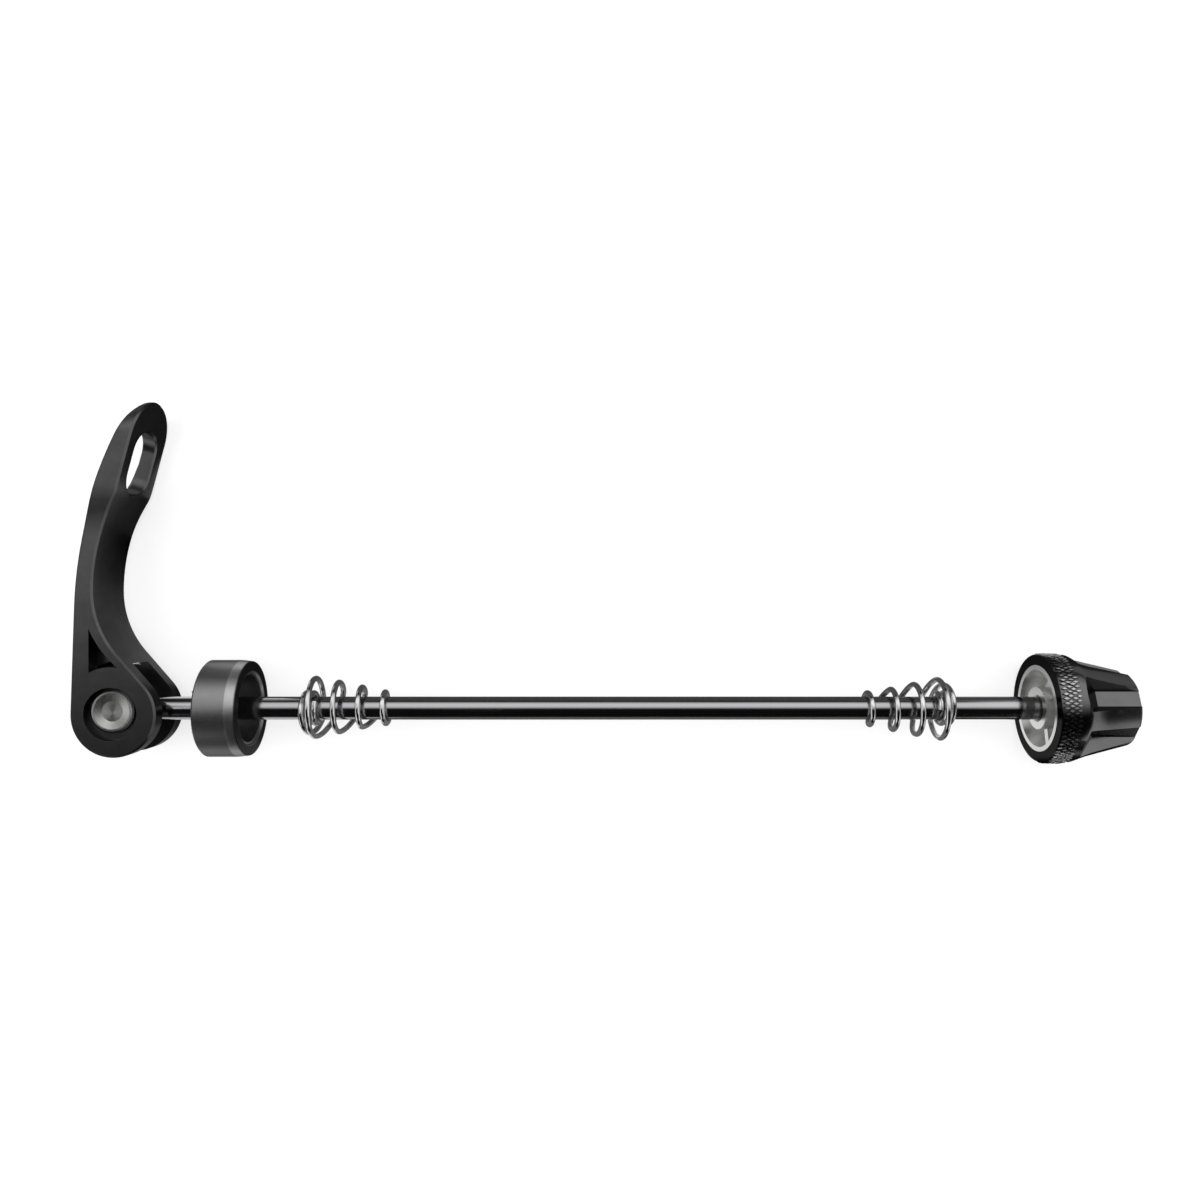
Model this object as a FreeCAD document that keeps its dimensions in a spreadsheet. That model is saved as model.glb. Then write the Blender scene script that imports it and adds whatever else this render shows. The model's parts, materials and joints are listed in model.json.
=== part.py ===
import FreeCAD, Part
import math
import os

import Sketcher

# Bicycle quick-release skewer for a rear wheel.
# X runs along the axle from the lever to the nut, the closed lever points along +Y and +Z is up.
# The origin lies on the axle, midway between the two clamping faces.
# Each piece is drawn with the lever flat, then the whole part is rolled by lie_roll about the axle,
# so that the lever's head reaches the floor that the nut lies on.

DOC = FreeCAD.newDocument("quick_release_skewer")
V = FreeCAD.Vector

# Driving dimensions in millimetres and degrees: alias, value, meaning
SIZES = [
    ("clamp_span", 170.6, "distance between the cup's and the nut's clamping faces"),
    ("lie_roll", 4.0, "roll about the axle that lays the lever's head on the floor"),
    ("running_gap", 0.05, "radial clearance of a turning or sliding fit"),
    ("thread_gap", 0.02, "radial clearance of the rod in its threaded holes"),
    ("rod_dia", 5.0, "rod diameter"),
    ("rod_bevel", 0.5, "bevel on the rod's ends"),
    ("rod_inset", 0.6, "depth of the rod's end below the barrel's skin"),
    ("rod_short", 1.6, "depth of the rod's far end inside the nut"),
    ("cup_play", 8.8, "free run of the cup on the rod, up to the lever's ears"),
    ("barrel_dia", 9.3, "pivot barrel diameter"),
    ("barrel_sunk", 0.6, "depth of the barrel's ends below the lever's sides"),
    ("barrel_bevel", 0.45, "bevel round the barrel's ends"),
    ("barrel_rim", 0.4, "flat rim round the dish in the barrel's ends"),
    ("dish_depth", 0.45, "depth of the dish"),
    ("dish_floor", 4.4, "diameter of the dish's flat floor"),
    ("ear_radius", 9.0, "radius of the lever's cam ears"),
    ("throw_x", 0.5, "cam throw towards the wheel"),
    ("throw_y", 0.75, "cam throw away from the lever's tip"),
    ("lever_width", 13.8, "width over the ears and the strap"),
    ("fork_play", 0.9, "play of the rod between the ears"),
    ("fork_reach", 1.4, "reach of the gap between the ears past their radius"),
    ("seat_dia", 11.2, "recess round the barrel's end"),
    ("seat_depth", 1.6, "depth of that recess"),
    ("seat_drop", 0.6, "recess centre below the pivot"),
    ("outer_lean", 1.9, "lean of the straight outer edge"),
    ("bend_y", 22.0, "height where the outer edge starts to curve"),
    ("tip_thickness", 1.22, "thickness of the head at its tip"),
    ("cheek_angle", 41.0, "lean of the straight cheek above the ears"),
    ("cheek_length", 9.18, "length of the cheek"),
    ("neck_radius", 20.46, "inner edge between the cheek and the waist"),
    ("strap_radius", 42.0, "inner edge above the waist"),
    ("brow_angle", 28.0, "turn of that edge"),
    ("shoulder_radius", 9.0, "rounding where the head begins"),
    ("head_lean", 15.0, "lean of the head's inner face"),
    ("head_flare", 1.1, "widening of the head on each side"),
    ("flare_length", 14.0, "length over which the strap widens to the head"),
    ("flare_drop", 30.0, "start of the flare below the tip"),
    ("tip_height", 66.3, "height of the lever's tip above the pivot"),
    ("slot_length", 14.2, "length of the slot in the head"),
    ("slot_width", 9.2, "width of the slot"),
    ("slot_wall", 3.1, "thickness left round the slot by the hollow in the back"),
    ("back_rim", 1.0, "rim left beside that hollow"),
    ("slot_drop", 13.4, "slot centre below the tip"),
    ("slot_bevel", 0.35, "bevel round the slot"),
    ("lever_bevel", 0.4, "bevel along the lever's long edges"),
    ("web_depth", 3.6, "depth of the three-cornered side pockets"),
    ("web_side", 4.5, "outer side of the pocket, outward of the pivot"),
    ("web_top", 17.4, "top corner of the pocket above the pivot"),
    ("web_gap", 0.35, "rim between the pocket and the ear disc"),
    ("web_reach", 1.6, "inner corner of the pocket, inward of the pivot"),
    ("web_curve", 22.0, "radius of the pocket's inner side"),
    ("cup_dia", 20.9, "cam cup diameter"),
    ("cup_length", 9.0, "cam cup length"),
    ("cup_edge", 0.4, "edge break at the cup's lever side"),
    ("cup_band", 2.2, "length of the bevelled band at the clamping side"),
    ("cup_taper", 0.25, "radial drop of that band"),
    ("cup_step", 0.45, "depth of the step inside the clamping face"),
    ("cup_ring", 0.4, "width of the step's ring"),
    ("cup_lip", 0.35, "widening of the step towards the face"),
    ("cup_hollow_dia", 14.6, "hollow of the cup"),
    ("cup_hollow", 5.2, "depth of the hollow"),
    ("cup_bore_gap", 0.4, "radial clearance of the cup on the rod"),
    ("saddle_height", 8.6, "cam seat across the lever's plane"),
    ("saddle_width", 14.0, "cam seat along the pivot"),
    ("saddle_sunk", 2.6, "depth of the cam seat in the cup"),
    ("saddle_proud", 1.1, "cam seat's horns above the cup"),
    ("saddle_gap", 0.1, "radius of the seat over the radius of the ears"),
    ("wire_dia", 1.2, "spring wire diameter"),
    ("grip_gap", 0.2, "radial clearance of the springs' small coils on the rod"),
    ("coil_dia", 14.1, "outside diameter of the springs' large coil"),
    ("cone_length", 15.1, "length of the springs' conical run"),
    ("coil_gap", 0.2, "gap between the closed coils"),
    ("grip_reach", 2.2, "reach of the small coils behind the large coil"),
    ("large_rise", 0.25, "rise of the wire along the large coil"),
    ("end_rise", 0.35, "rise of the wire along the end coil"),
    ("lever_spring_gap", 13.96, "large coil of the lever-side spring from the cup's clamping face"),
    ("lever_spring_turn", 30.0, "turn of the lever-side spring about the rod"),
    ("nut_spring_gap", 21.4, "large coil of the nut-side spring from the nut's clamping face"),
    ("nut_dia", 23.9, "nut diameter over the knurled rim"),
    ("nut_length", 18.8, "nut length"),
    ("nut_bevel", 0.4, "bevel at the nut's clamping face"),
    ("rim_length", 4.3, "knurled rim, with its bevel"),
    ("collar_drop", 0.35, "step down behind the rim"),
    ("collar_length", 1.4, "collar behind the rim"),
    ("shoulder_length", 3.2, "steep cone behind the collar"),
    ("shoulder_drop", 1.1, "radial drop of the steep cone"),
    ("nose_dia", 16.3, "diameter of the nut's nose"),
    ("nose_bevel", 0.7, "bevel round the nose"),
    ("flute_floor", 7.1, "distance of the flutes' floors from the axle"),
    ("flute_width", 3.2, "width of the flutes' floors"),
    ("flute_slope", 32.0, "lean of the flutes' walls"),
    ("flute_start", 5.6, "start of the flutes behind the clamping face"),
    ("flute_ramp", 4.0, "length of the ramp into the flutes"),
    ("flute_turn", 22.0, "turn of the first flute from the lever's upper side"),
    ("core_dia", 18.7, "metal core at the clamping face"),
    ("core_flange", 5.2, "thickness of the core's flange"),
    ("core_rim", 1.0, "width of the core's rim"),
    ("core_slope", 1.75, "narrowing of the core's ring-shaped hollow"),
    ("core_hollow", 4.2, "depth of that hollow"),
    ("core_shank_dia", 10.8, "diameter of the core's shank"),
    ("boss_dia", 9.1, "threaded boss in the core"),
    ("boss_mouth", 0.45, "countersink of the boss's hole"),
    ("rib_width", 1.5, "ribs between boss and rim"),
    ("rib_drop", 1.5, "ribs below the clamping face"),
    ("rib_turn", 43.0, "turn of the first rib from the lever's upper side"),
    ("lock_dia", 8.4, "lock ring diameter"),
    ("lock_length", 2.6, "lock ring length"),
    ("lock_inset", 0.4, "lock ring below the nose"),
]

FLUTE_COUNT = 6
RIB_COUNT = 3

# Wire of a spring: corners of its section, points per turn and turns of each stretch
WIRE_CORNERS = 5
POINTS_PER_TURN = 12
GRIP_TURNS = 2.0
STEP_TURNS = 0.5
LARGE_TURNS = 0.5
CONE_TURNS = 3.0
END_TURNS = 0.5

# A turn of the cone runs nearly level and climbs on its far side: share of the turn that climbs,
# and share of the rise that the level part has
CLIMB_ARC = 0.45
LEVEL_RISE = 0.12

# Cutters reach past the skin by this much, and the lever's blank past its tip
MARGIN = 5.0
TIP_SPARE = 0.6


class Size:
    """A length or an angle, with its value and the sheet expression that gives it."""

    def __init__(self, value, text):
        self.value = float(value)
        self.text = text

    def join(self, sign, other, value):
        return Size(value, f"({self.text} {sign} {other.text})")

    def __add__(self, other):
        other = as_size(other)
        return self.join("+", other, self.value + other.value)

    def __sub__(self, other):
        other = as_size(other)
        return self.join("-", other, self.value - other.value)

    def __mul__(self, other):
        other = as_size(other)
        return self.join("*", other, self.value * other.value)

    def __truediv__(self, other):
        other = as_size(other)
        return self.join("/", other, self.value / other.value)

    def __neg__(self):
        return Size(-self.value, f"(0 - {self.text})")


def as_size(number):
    if isinstance(number, Size):
        return number
    return Size(number, repr(float(number)))


def sine(angle):
    return Size(math.sin(math.radians(angle.value)), f"sin({angle.text})")


def cosine(angle):
    return Size(math.cos(math.radians(angle.value)), f"cos({angle.text})")


def tangent(angle):
    return Size(math.tan(math.radians(angle.value)), f"tan({angle.text})")


def root(number):
    return Size(math.sqrt(number.value), f"sqrt({number.text})")


ZERO = Size(0.0, "0")


def make_sheet():
    """Write the driving dimensions to the sheet and return them by alias."""
    sheet = DOC.addObject("Spreadsheet::Sheet", "Sizes")
    for row, (alias, value, meaning) in enumerate(SIZES, start=1):
        sheet.set(f"A{row}", meaning)
        sheet.set(f"B{row}", str(value))
        sheet.setAlias(f"B{row}", alias)
    DOC.recompute()
    return {alias: Size(sheet.get(alias), f"Sizes.{alias}") for alias, _, _ in SIZES}


S = make_sheet()


# Bodies, sketches and features

def new_body(label):
    body = DOC.addObject("PartDesign::Body", label)
    body.Label = label
    return body


def origin_feature(body, role):
    return next(item for item in body.Origin.OriginFeatures if item.Role == role)


def new_sketch(body, name, role, height=None):
    """A sketch on one of the body's origin planes, lifted along its normal by height."""
    sketch = body.newObject("Sketcher::SketchObject", name)
    sketch.AttachmentSupport = [(origin_feature(body, role), "")]
    sketch.MapMode = "FlatFace"
    if height is not None:
        sketch.setExpression("AttachmentOffset.Base.z", height.text)
    return sketch


def bind(target, name, size):
    target.setExpression(name, size.text)


def hold_point(sketch, geometry, end, point):
    """Dimension one end of a sketch element from the sketch's origin."""
    for kind, axis, size in (("DistanceX", -2, point[0]), ("DistanceY", -1, point[1])):
        if size is ZERO:
            sketch.addConstraint(Sketcher.Constraint("PointOnObject", geometry, end, axis))
        else:
            index = sketch.addConstraint(Sketcher.Constraint(kind, geometry, end, size.value))
            bind(sketch, f"Constraints[{index}]", size)


def hold_radius(sketch, geometry, radius):
    index = sketch.addConstraint(Sketcher.Constraint("Radius", geometry, radius.value))
    bind(sketch, f"Constraints[{index}]", radius)


def draw_circle(sketch, point, radius):
    circle = Part.Circle(V(point[0].value, point[1].value, 0), V(0, 0, 1), radius.value)
    geometry = sketch.addGeometry(circle, False)
    hold_point(sketch, geometry, 3, point)
    hold_radius(sketch, geometry, radius)


def arc_between(start, end, radius, turn, span):
    """Arc from start to end that turns left (turn 1) or right (turn -1)."""
    chord = end - start
    half = chord.Length / 2
    rise = math.sqrt(max(radius * radius - half * half, 0.0))
    side = -turn if span == "long" else turn
    left = V(-chord.y, chord.x, 0).normalize()
    centre = (start + end) * 0.5 + left * (rise * side)
    first, last = (start, end) if turn > 0 else (end, start)
    first_angle = math.atan2(first.y - centre.y, first.x - centre.x)
    last_angle = math.atan2(last.y - centre.y, last.x - centre.x)
    if last_angle <= first_angle:
        last_angle += 2 * math.pi
    circle = Part.Circle(centre, V(0, 0, 1), radius)
    return Part.ArcOfCircle(circle, first_angle, last_angle)


def draw_outline(sketch, points, arcs=None):
    """Closed outline through the points; arcs gives radius, turn and span of the sides that are arcs."""
    arcs = arcs or {}
    places = [V(x.value, y.value, 0) for x, y in points]
    sides = []
    for number, start in enumerate(places):
        end = places[(number + 1) % len(places)]
        if number in arcs:
            radius, turn, span = arcs[number]
            geometry = sketch.addGeometry(arc_between(start, end, radius.value, turn, span), False)
            sides.append((geometry, 1, 2) if turn > 0 else (geometry, 2, 1))
        else:
            geometry = sketch.addGeometry(Part.LineSegment(start, end), False)
            sides.append((geometry, 1, 2))
    for number, point in enumerate(points):
        geometry, first, _ = sides[number]
        before, _, last = sides[number - 1]
        sketch.addConstraint(Sketcher.Constraint("Coincident", before, last, geometry, first))
        hold_point(sketch, geometry, first, point)
    for number, (radius, _, span) in arcs.items():
        geometry = sides[number][0]
        if span == "half":
            sketch.addConstraint(Sketcher.Constraint("Vertical", geometry, 3, geometry, 1))
        else:
            hold_radius(sketch, geometry, radius)


def draw_slot(sketch, length, width):
    """Slot with round ends, centred on the sketch's origin and running along its X."""
    run = (length - width) / 2
    half = width / 2
    points = [(-run, -half), (run, -half), (run, half), (-run, half)]
    draw_outline(sketch, points, {1: (half, 1, "half"), 3: (half, 1, "half")})


def draw_box(sketch, low, high):
    draw_outline(sketch, [(low[0], low[1]), (high[0], low[1]), (high[0], high[1]), (low[0], high[1])])


def extrude(body, kind, name, sketch, length, both_ways=False, backwards=False):
    feature = body.newObject(f"PartDesign::{kind}", name)
    feature.Profile = sketch
    bind(feature, "Length", length)
    feature.SideType = "Symmetric" if both_ways else "One side"
    feature.Reversed = backwards
    DOC.recompute()
    return feature


def revolve(body, name, sketch, axis):
    feature = body.newObject("PartDesign::Revolution", name)
    feature.Profile = sketch
    feature.ReferenceAxis = (sketch, [axis])
    feature.Angle = 360
    DOC.recompute()
    return feature


def polar(body, name, feature, axis_role, count):
    """Repeat a feature evenly round one of the body's axes."""
    pattern = body.newObject("PartDesign::PolarPattern", name)
    pattern.Originals = [feature]
    pattern.Axis = (origin_feature(body, axis_role), [""])
    pattern.Angle = 360
    pattern.Occurrences = count
    body.Tip = pattern
    DOC.recompute()
    return pattern


def bevel(body, name, base, edges, size):
    """Chamfer the edges of base whose numbers are given."""
    feature = body.newObject("PartDesign::Chamfer", name)
    feature.Base = (base, [f"Edge{number}" for number in edges])
    bind(feature, "Size", size)
    DOC.recompute()
    return feature


def place(piece, station, turn=ZERO, half_turn=False):
    """Put a piece at its station on the axle, turned about it and rolled to lie on the floor."""
    roll = FreeCAD.Rotation(V(1, 0, 0), -(S["lie_roll"] + turn).value)
    flip = FreeCAD.Rotation(V(0, 0, 1), 180 if half_turn else 0)
    piece.Placement = FreeCAD.Placement(V(station.value, 0, 0), roll * flip)
    bind(piece, "Placement.Base.x", station)


# Stations along the axle

CUP_FACE = -(S["clamp_span"] / 2)
NUT_FACE = S["clamp_span"] / 2
EAR_FRONT = CUP_FACE - S["cup_length"] - S["cup_play"]
PIVOT = EAR_FRONT - S["ear_radius"] - S["throw_x"]

# Sizes that several pieces share

ROD_RADIUS = S["rod_dia"] / 2
HEAD_WIDTH = S["lever_width"] + S["head_flare"] * 2
LOCK_FLOOR = S["nut_length"] - S["lock_inset"] - S["lock_length"]
CORE_LENGTH = LOCK_FLOOR - S["running_gap"]


def make_rod():
    """Straight steel rod from the pivot barrel to the inside of the nut."""
    start = PIVOT - S["barrel_dia"] / 2 + S["rod_inset"]
    length = NUT_FACE + S["nut_length"] - S["rod_short"] - start
    body = new_body("skewer_rod")
    sketch = new_sketch(body, "rod_section", "YZ_Plane")
    draw_circle(sketch, (ZERO, ZERO), ROD_RADIUS)
    rod = extrude(body, "Pad", "rod_length", sketch, length)
    bevel(body, "rod_bevels", rod, round_edges(rod.Shape), S["rod_bevel"])
    place(body, start)
    return body


def round_edges(shape):
    """Numbers of the closed round edges of a shape."""
    return [number for number, edge in enumerate(shape.Edges, start=1) if edge.isClosed()
            and isinstance(edge.Curve, Part.Circle)]


def make_barrel():
    """Turned pivot barrel with dished ends and a cross hole that the rod screws into."""
    top = S["lever_width"] / 2 - S["barrel_sunk"]
    radius = S["barrel_dia"] / 2
    shoulder = radius - S["barrel_bevel"]
    floor = top - S["dish_depth"]
    half = [
        (ZERO, floor),
        (S["dish_floor"] / 2, floor),
        (shoulder - S["barrel_rim"], top),
        (shoulder, top),
        (radius, top - S["barrel_bevel"]),
    ]
    body = new_body("pivot_barrel")
    sketch = new_sketch(body, "barrel_section", "XZ_Plane")
    draw_outline(sketch, half + [(x, -y) for x, y in reversed(half)])
    revolve(body, "barrel_turning", sketch, "V_Axis")
    hole = new_sketch(body, "cross_hole_section", "YZ_Plane")
    draw_circle(hole, (ZERO, ZERO), ROD_RADIUS + S["thread_gap"])
    extrude(body, "Pocket", "cross_hole", hole, S["barrel_dia"] + MARGIN, both_ways=True)
    place(body, PIVOT)
    return body


def lever_side():
    """Corners and arcs of the lever's side view, with the pivot at the origin."""
    ear = S["ear_radius"]
    lean = S["outer_lean"]
    ear_x = S["throw_x"]
    ear_y = -S["throw_y"]
    # Straight outer edge, tangent to the ear
    outer_x = ear_x - ear * cosine(lean)
    outer_y = ear_y + ear * sine(lean)
    bend_x = outer_x + (S["bend_y"] - outer_y) * tangent(lean)
    # Inner edge from the ear up the cheek to the waist and the head
    cheek = S["cheek_angle"]
    neck = S["neck_radius"]
    cheek_x = ear_x + ear * cosine(cheek)
    cheek_y = ear_y + ear * sine(cheek)
    neck_x = cheek_x - S["cheek_length"] * sine(cheek)
    neck_y = cheek_y + S["cheek_length"] * cosine(cheek)
    waist_x = neck_x - neck * (as_size(1) - cosine(cheek))
    waist_y = neck_y + neck * sine(cheek)
    brow_x = waist_x + S["strap_radius"] * (as_size(1) - cosine(S["brow_angle"]))
    brow_y = waist_y + S["strap_radius"] * sine(S["brow_angle"])
    head_x, head_y = shoulder_end(brow_x, brow_y)
    blank_top = S["tip_height"] + TIP_SPARE
    inner_x = head_x + (blank_top - head_y) * tangent(S["head_lean"])
    # Outer arc, tangent to the straight edge, up to the tip
    tip_x = inner_x - S["tip_thickness"]
    run_x = tip_x - bend_x
    run_y = blank_top - S["bend_y"]
    outer = (run_x * run_x + run_y * run_y) / ((run_x * cosine(lean) - run_y * sine(lean)) * 2)
    points = [
        (outer_x, outer_y),
        (cheek_x, cheek_y),
        (neck_x, neck_y),
        (waist_x, waist_y),
        (brow_x, brow_y),
        (head_x, head_y),
        (inner_x, blank_top),
        (tip_x, blank_top),
        (bend_x, S["bend_y"]),
    ]
    arcs = {
        0: (ear, 1, "long"),
        2: (neck, -1, "short"),
        3: (S["strap_radius"], -1, "short"),
        4: (S["shoulder_radius"], 1, "short"),
        7: (outer, 1, "short"),
    }
    return points, arcs, (head_x, head_y)


def shoulder_end(brow_x, brow_y):
    """End of the convex rounding between the strap and the head's inner face."""
    turn_x = cosine(S["head_lean"]) - cosine(S["brow_angle"])
    turn_y = sine(S["brow_angle"]) - sine(S["head_lean"])
    return brow_x + S["shoulder_radius"] * turn_x, brow_y + S["shoulder_radius"] * turn_y


def lever_front():
    """Corners and arcs of the lever's front view, over height and width."""
    strap = S["lever_width"] / 2
    head = HEAD_WIDTH / 2
    foot = -(S["ear_radius"] + S["throw_y"] + MARGIN)
    low = S["tip_height"] - S["flare_drop"]
    half_rise = (head - strap) / 2
    half_run = S["flare_length"] / 2
    flare = (half_run * half_run + half_rise * half_rise) / (half_rise * 2)
    edge = [
        (foot, strap),
        (low, strap),
        (low + half_run, strap + half_rise),
        (low + S["flare_length"], head),
        (S["tip_height"] - head, head),
    ]
    points = [(x, -y) for x, y in edge] + list(reversed(edge))
    arcs = {
        1: (flare, -1, "short"),
        2: (flare, 1, "short"),
        4: (head, 1, "half"),
        6: (flare, 1, "short"),
        7: (flare, -1, "short"),
    }
    return points, arcs


def is_profile(face):
    """True where a face of the lever's blank stands square to the side view all over."""
    low_u, high_u, low_v, high_v = face.ParameterRange
    across = [low_u + (high_u - low_u) * share for share in (0.1, 0.9)]
    along = [low_v + (high_v - low_v) * share for share in (0.1, 0.9)]
    return all(abs(face.normalAt(u, v).z) < 1e-4 for u in across for v in along)


def long_edges(shape):
    """Numbers of the edges between the lever's side walls and its inner and outer faces."""
    numbers = []
    for number, edge in enumerate(shape.Edges, start=1):
        faces = shape.ancestorsOfType(edge, Part.Face)
        if sum(is_profile(face) for face in faces) == 1:
            numbers.append(number)
    return numbers


def slot_edges(shape, centre, lean):
    """Numbers of the slot's edges on the head's inner side."""
    normal = V(math.cos(lean), -math.sin(lean), 0)
    upward = V(math.sin(lean), math.cos(lean), 0)
    half = S["slot_width"].value / 2
    run = S["slot_length"].value / 2 - half
    numbers = []
    for number, edge in enumerate(shape.Edges, start=1):
        offset = edge.valueAt((edge.FirstParameter + edge.LastParameter) / 2) - centre
        past_run = max(abs(offset.dot(upward)) - run, 0.0)
        on_wall = abs(math.hypot(past_run, offset.z) - half) < 1e-3
        if on_wall and abs(offset.dot(normal)) < half / 4:
            numbers.append(number)
    return numbers


def cut_both_sides(body, name, cuts):
    """Repeat cuts in the lever's upper side on its lower side."""
    mirror = body.newObject("PartDesign::Mirrored", name)
    mirror.Originals = cuts
    mirror.MirrorPlane = (origin_feature(body, "XY_Plane"), [""])
    body.Tip = mirror
    DOC.recompute()
    return mirror


def leaning_sketch(body, name, station, height):
    """Sketch on a plane along the head's inner face, at a station and height."""
    sketch = new_sketch(body, name, "YZ_Plane", station)
    turn = FreeCAD.Rotation(V(0, -1, 0), S["head_lean"].value)
    sketch.AttachmentOffset = FreeCAD.Placement(V(0, 0, 0), turn)
    bind(sketch, "AttachmentOffset.Base.x", height)
    bind(sketch, "AttachmentOffset.Rotation.Angle", S["head_lean"])
    return sketch


def make_lever():
    """Forged cam lever: one piece with two eccentric ears, a waisted strap and a slotted head."""
    body = new_body("cam_lever")
    side = new_sketch(body, "side_view", "XY_Plane")
    points, arcs, (head_x, head_y) = lever_side()
    draw_outline(side, points, arcs)
    extrude(body, "Pad", "side_blank", side, HEAD_WIDTH, both_ways=True)
    front = new_sketch(body, "front_view", "YZ_Plane")
    outline, bends = lever_front()
    draw_outline(front, outline, bends)
    limit = HEAD_WIDTH / 2 + MARGIN
    draw_box(front, (outline[0][0] - MARGIN, -limit), (S["tip_height"] + MARGIN, limit))
    trim = extrude(body, "Pocket", "front_trim", front, S["tip_height"], both_ways=True)
    bevel(body, "long_bevels", trim, long_edges(trim.Shape), S["lever_bevel"])

    # Fork between the ears and the bearing of the pivot barrel
    fork = new_sketch(body, "fork_section", "XY_Plane")
    draw_circle(fork, (ZERO, ZERO), S["ear_radius"] + S["fork_reach"])
    extrude(body, "Pocket", "fork", fork, S["rod_dia"] + S["fork_play"] * 2, both_ways=True)
    bearing = new_sketch(body, "bearing_section", "XY_Plane")
    draw_circle(bearing, (ZERO, ZERO), S["barrel_dia"] / 2 + S["running_gap"])
    extrude(body, "Pocket", "bearing", bearing, HEAD_WIDTH + MARGIN, both_ways=True)

    # Recess round the barrel's end and the three-cornered pocket beside it
    skin = S["lever_width"] / 2
    seat = new_sketch(body, "seat_section", "XY_Plane", skin)
    draw_circle(seat, (ZERO, -S["seat_drop"]), S["seat_dia"] / 2)
    seat_cut = extrude(body, "Pocket", "seat_recess", seat, S["seat_depth"])
    web = new_sketch(body, "web_section", "XY_Plane", skin)
    ring = S["ear_radius"] + S["web_gap"]
    low_x = -S["web_side"]
    corners = [
        (low_x, S["web_top"]),
        (low_x, root(ring * ring - S["web_side"] * S["web_side"])),
        (S["web_reach"], root(ring * ring - S["web_reach"] * S["web_reach"])),
    ]
    draw_outline(web, corners, {1: (ring, -1, "short"), 2: (S["web_curve"], -1, "short")})
    web_cut = extrude(body, "Pocket", "web_pocket", web, S["web_depth"])
    cut_both_sides(body, "lower_side", [seat_cut, web_cut])

    # Slot square to the head's inner face
    slot_y = S["tip_height"] - S["slot_drop"]
    slot_x = head_x + (slot_y - head_y) * tangent(S["head_lean"])
    slot = leaning_sketch(body, "slot_section", slot_x, slot_y)
    draw_slot(slot, S["slot_length"], S["slot_width"])
    slot_cut = extrude(body, "Pocket", "slot", slot, S["tip_height"] / 2, both_ways=True)
    lean = math.radians(S["head_lean"].value)
    rim = slot_edges(slot_cut.Shape, V(slot_x.value, slot_y.value, 0), lean)
    bevel(body, "slot_rim", slot_cut, rim, S["slot_bevel"])

    # Hollow in the back of the head, round the slot
    hollow_x = slot_x - S["slot_wall"] * cosine(S["head_lean"])
    hollow_y = slot_y + S["slot_wall"] * sine(S["head_lean"])
    hollow = leaning_sketch(body, "back_section", hollow_x, hollow_y)
    hollow_width = HEAD_WIDTH - S["back_rim"] * 2
    draw_slot(hollow, S["slot_length"] + hollow_width - S["slot_width"], hollow_width)
    extrude(body, "Pocket", "back_hollow", hollow, S["ear_radius"])
    place(body, PIVOT)
    return body


def make_cup():
    """Turned cam cup, hollow towards the wheel, with a pocket for the cam seat."""
    radius = S["cup_dia"] / 2
    length = S["cup_length"]
    hollow = S["cup_hollow_dia"] / 2
    ring = hollow + S["cup_ring"]
    bore = ROD_RADIUS + S["cup_bore_gap"]
    section = [
        (-length, bore),
        (-S["cup_hollow"], bore),
        (-S["cup_hollow"], hollow),
        (-S["cup_step"], hollow),
        (-S["cup_step"], ring),
        (ZERO, ring + S["cup_lip"]),
        (ZERO, radius - S["cup_taper"]),
        (-S["cup_band"], radius),
        (S["cup_edge"] - length, radius),
        (-length, radius - S["cup_edge"]),
    ]
    body = new_body("cam_cup")
    sketch = new_sketch(body, "cup_section", "XZ_Plane")
    draw_outline(sketch, section)
    revolve(body, "cup_turning", sketch, "H_Axis")
    pocket = new_sketch(body, "cup_pocket_section", "YZ_Plane", -length)
    high = S["saddle_height"] / 2
    wide = S["saddle_width"] / 2
    draw_box(pocket, (-high, -wide), (high, wide))
    extrude(body, "Pocket", "cup_pocket", pocket, S["saddle_sunk"], backwards=True)
    place(body, CUP_FACE)
    return body


def make_seat():
    """Nylon seat in the cup, hollowed to the round of the lever's ears."""
    high = S["saddle_height"] / 2
    horn = -(S["cup_length"] + S["saddle_proud"])
    floor = S["saddle_sunk"] - S["cup_length"]
    body = new_body("cam_seat")
    sketch = new_sketch(body, "seat_side", "XY_Plane")
    corners = [(horn, -high), (floor, -high), (floor, high), (horn, high)]
    draw_outline(sketch, corners, {3: (S["ear_radius"] + S["saddle_gap"], -1, "short")})
    extrude(body, "Pad", "seat_block", sketch, S["saddle_width"], both_ways=True)
    hole = new_sketch(body, "seat_bore_section", "YZ_Plane")
    draw_circle(hole, (ZERO, ZERO), ROD_RADIUS + S["running_gap"])
    extrude(body, "Pocket", "seat_bore", hole, S["cup_length"] * 4, both_ways=True)
    place(body, CUP_FACE)
    return body


def level(share, turns):
    """Even rise along a stretch of the wire."""
    return share


def late(share, turns):
    """Rise that comes late in a stretch of the wire."""
    return share * share


def climb(share, turns):
    """Rise that each turn of a stretch makes mostly on its far side."""
    turn = math.floor(share * turns)
    part = share * turns - turn
    ramp = min(max((part - 0.5) / CLIMB_ARC + 0.5, 0.0), 1.0)
    return (turn + LEVEL_RISE * part + (1 - LEVEL_RISE) * ramp * ramp * (3 - 2 * ramp)) / turns


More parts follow.
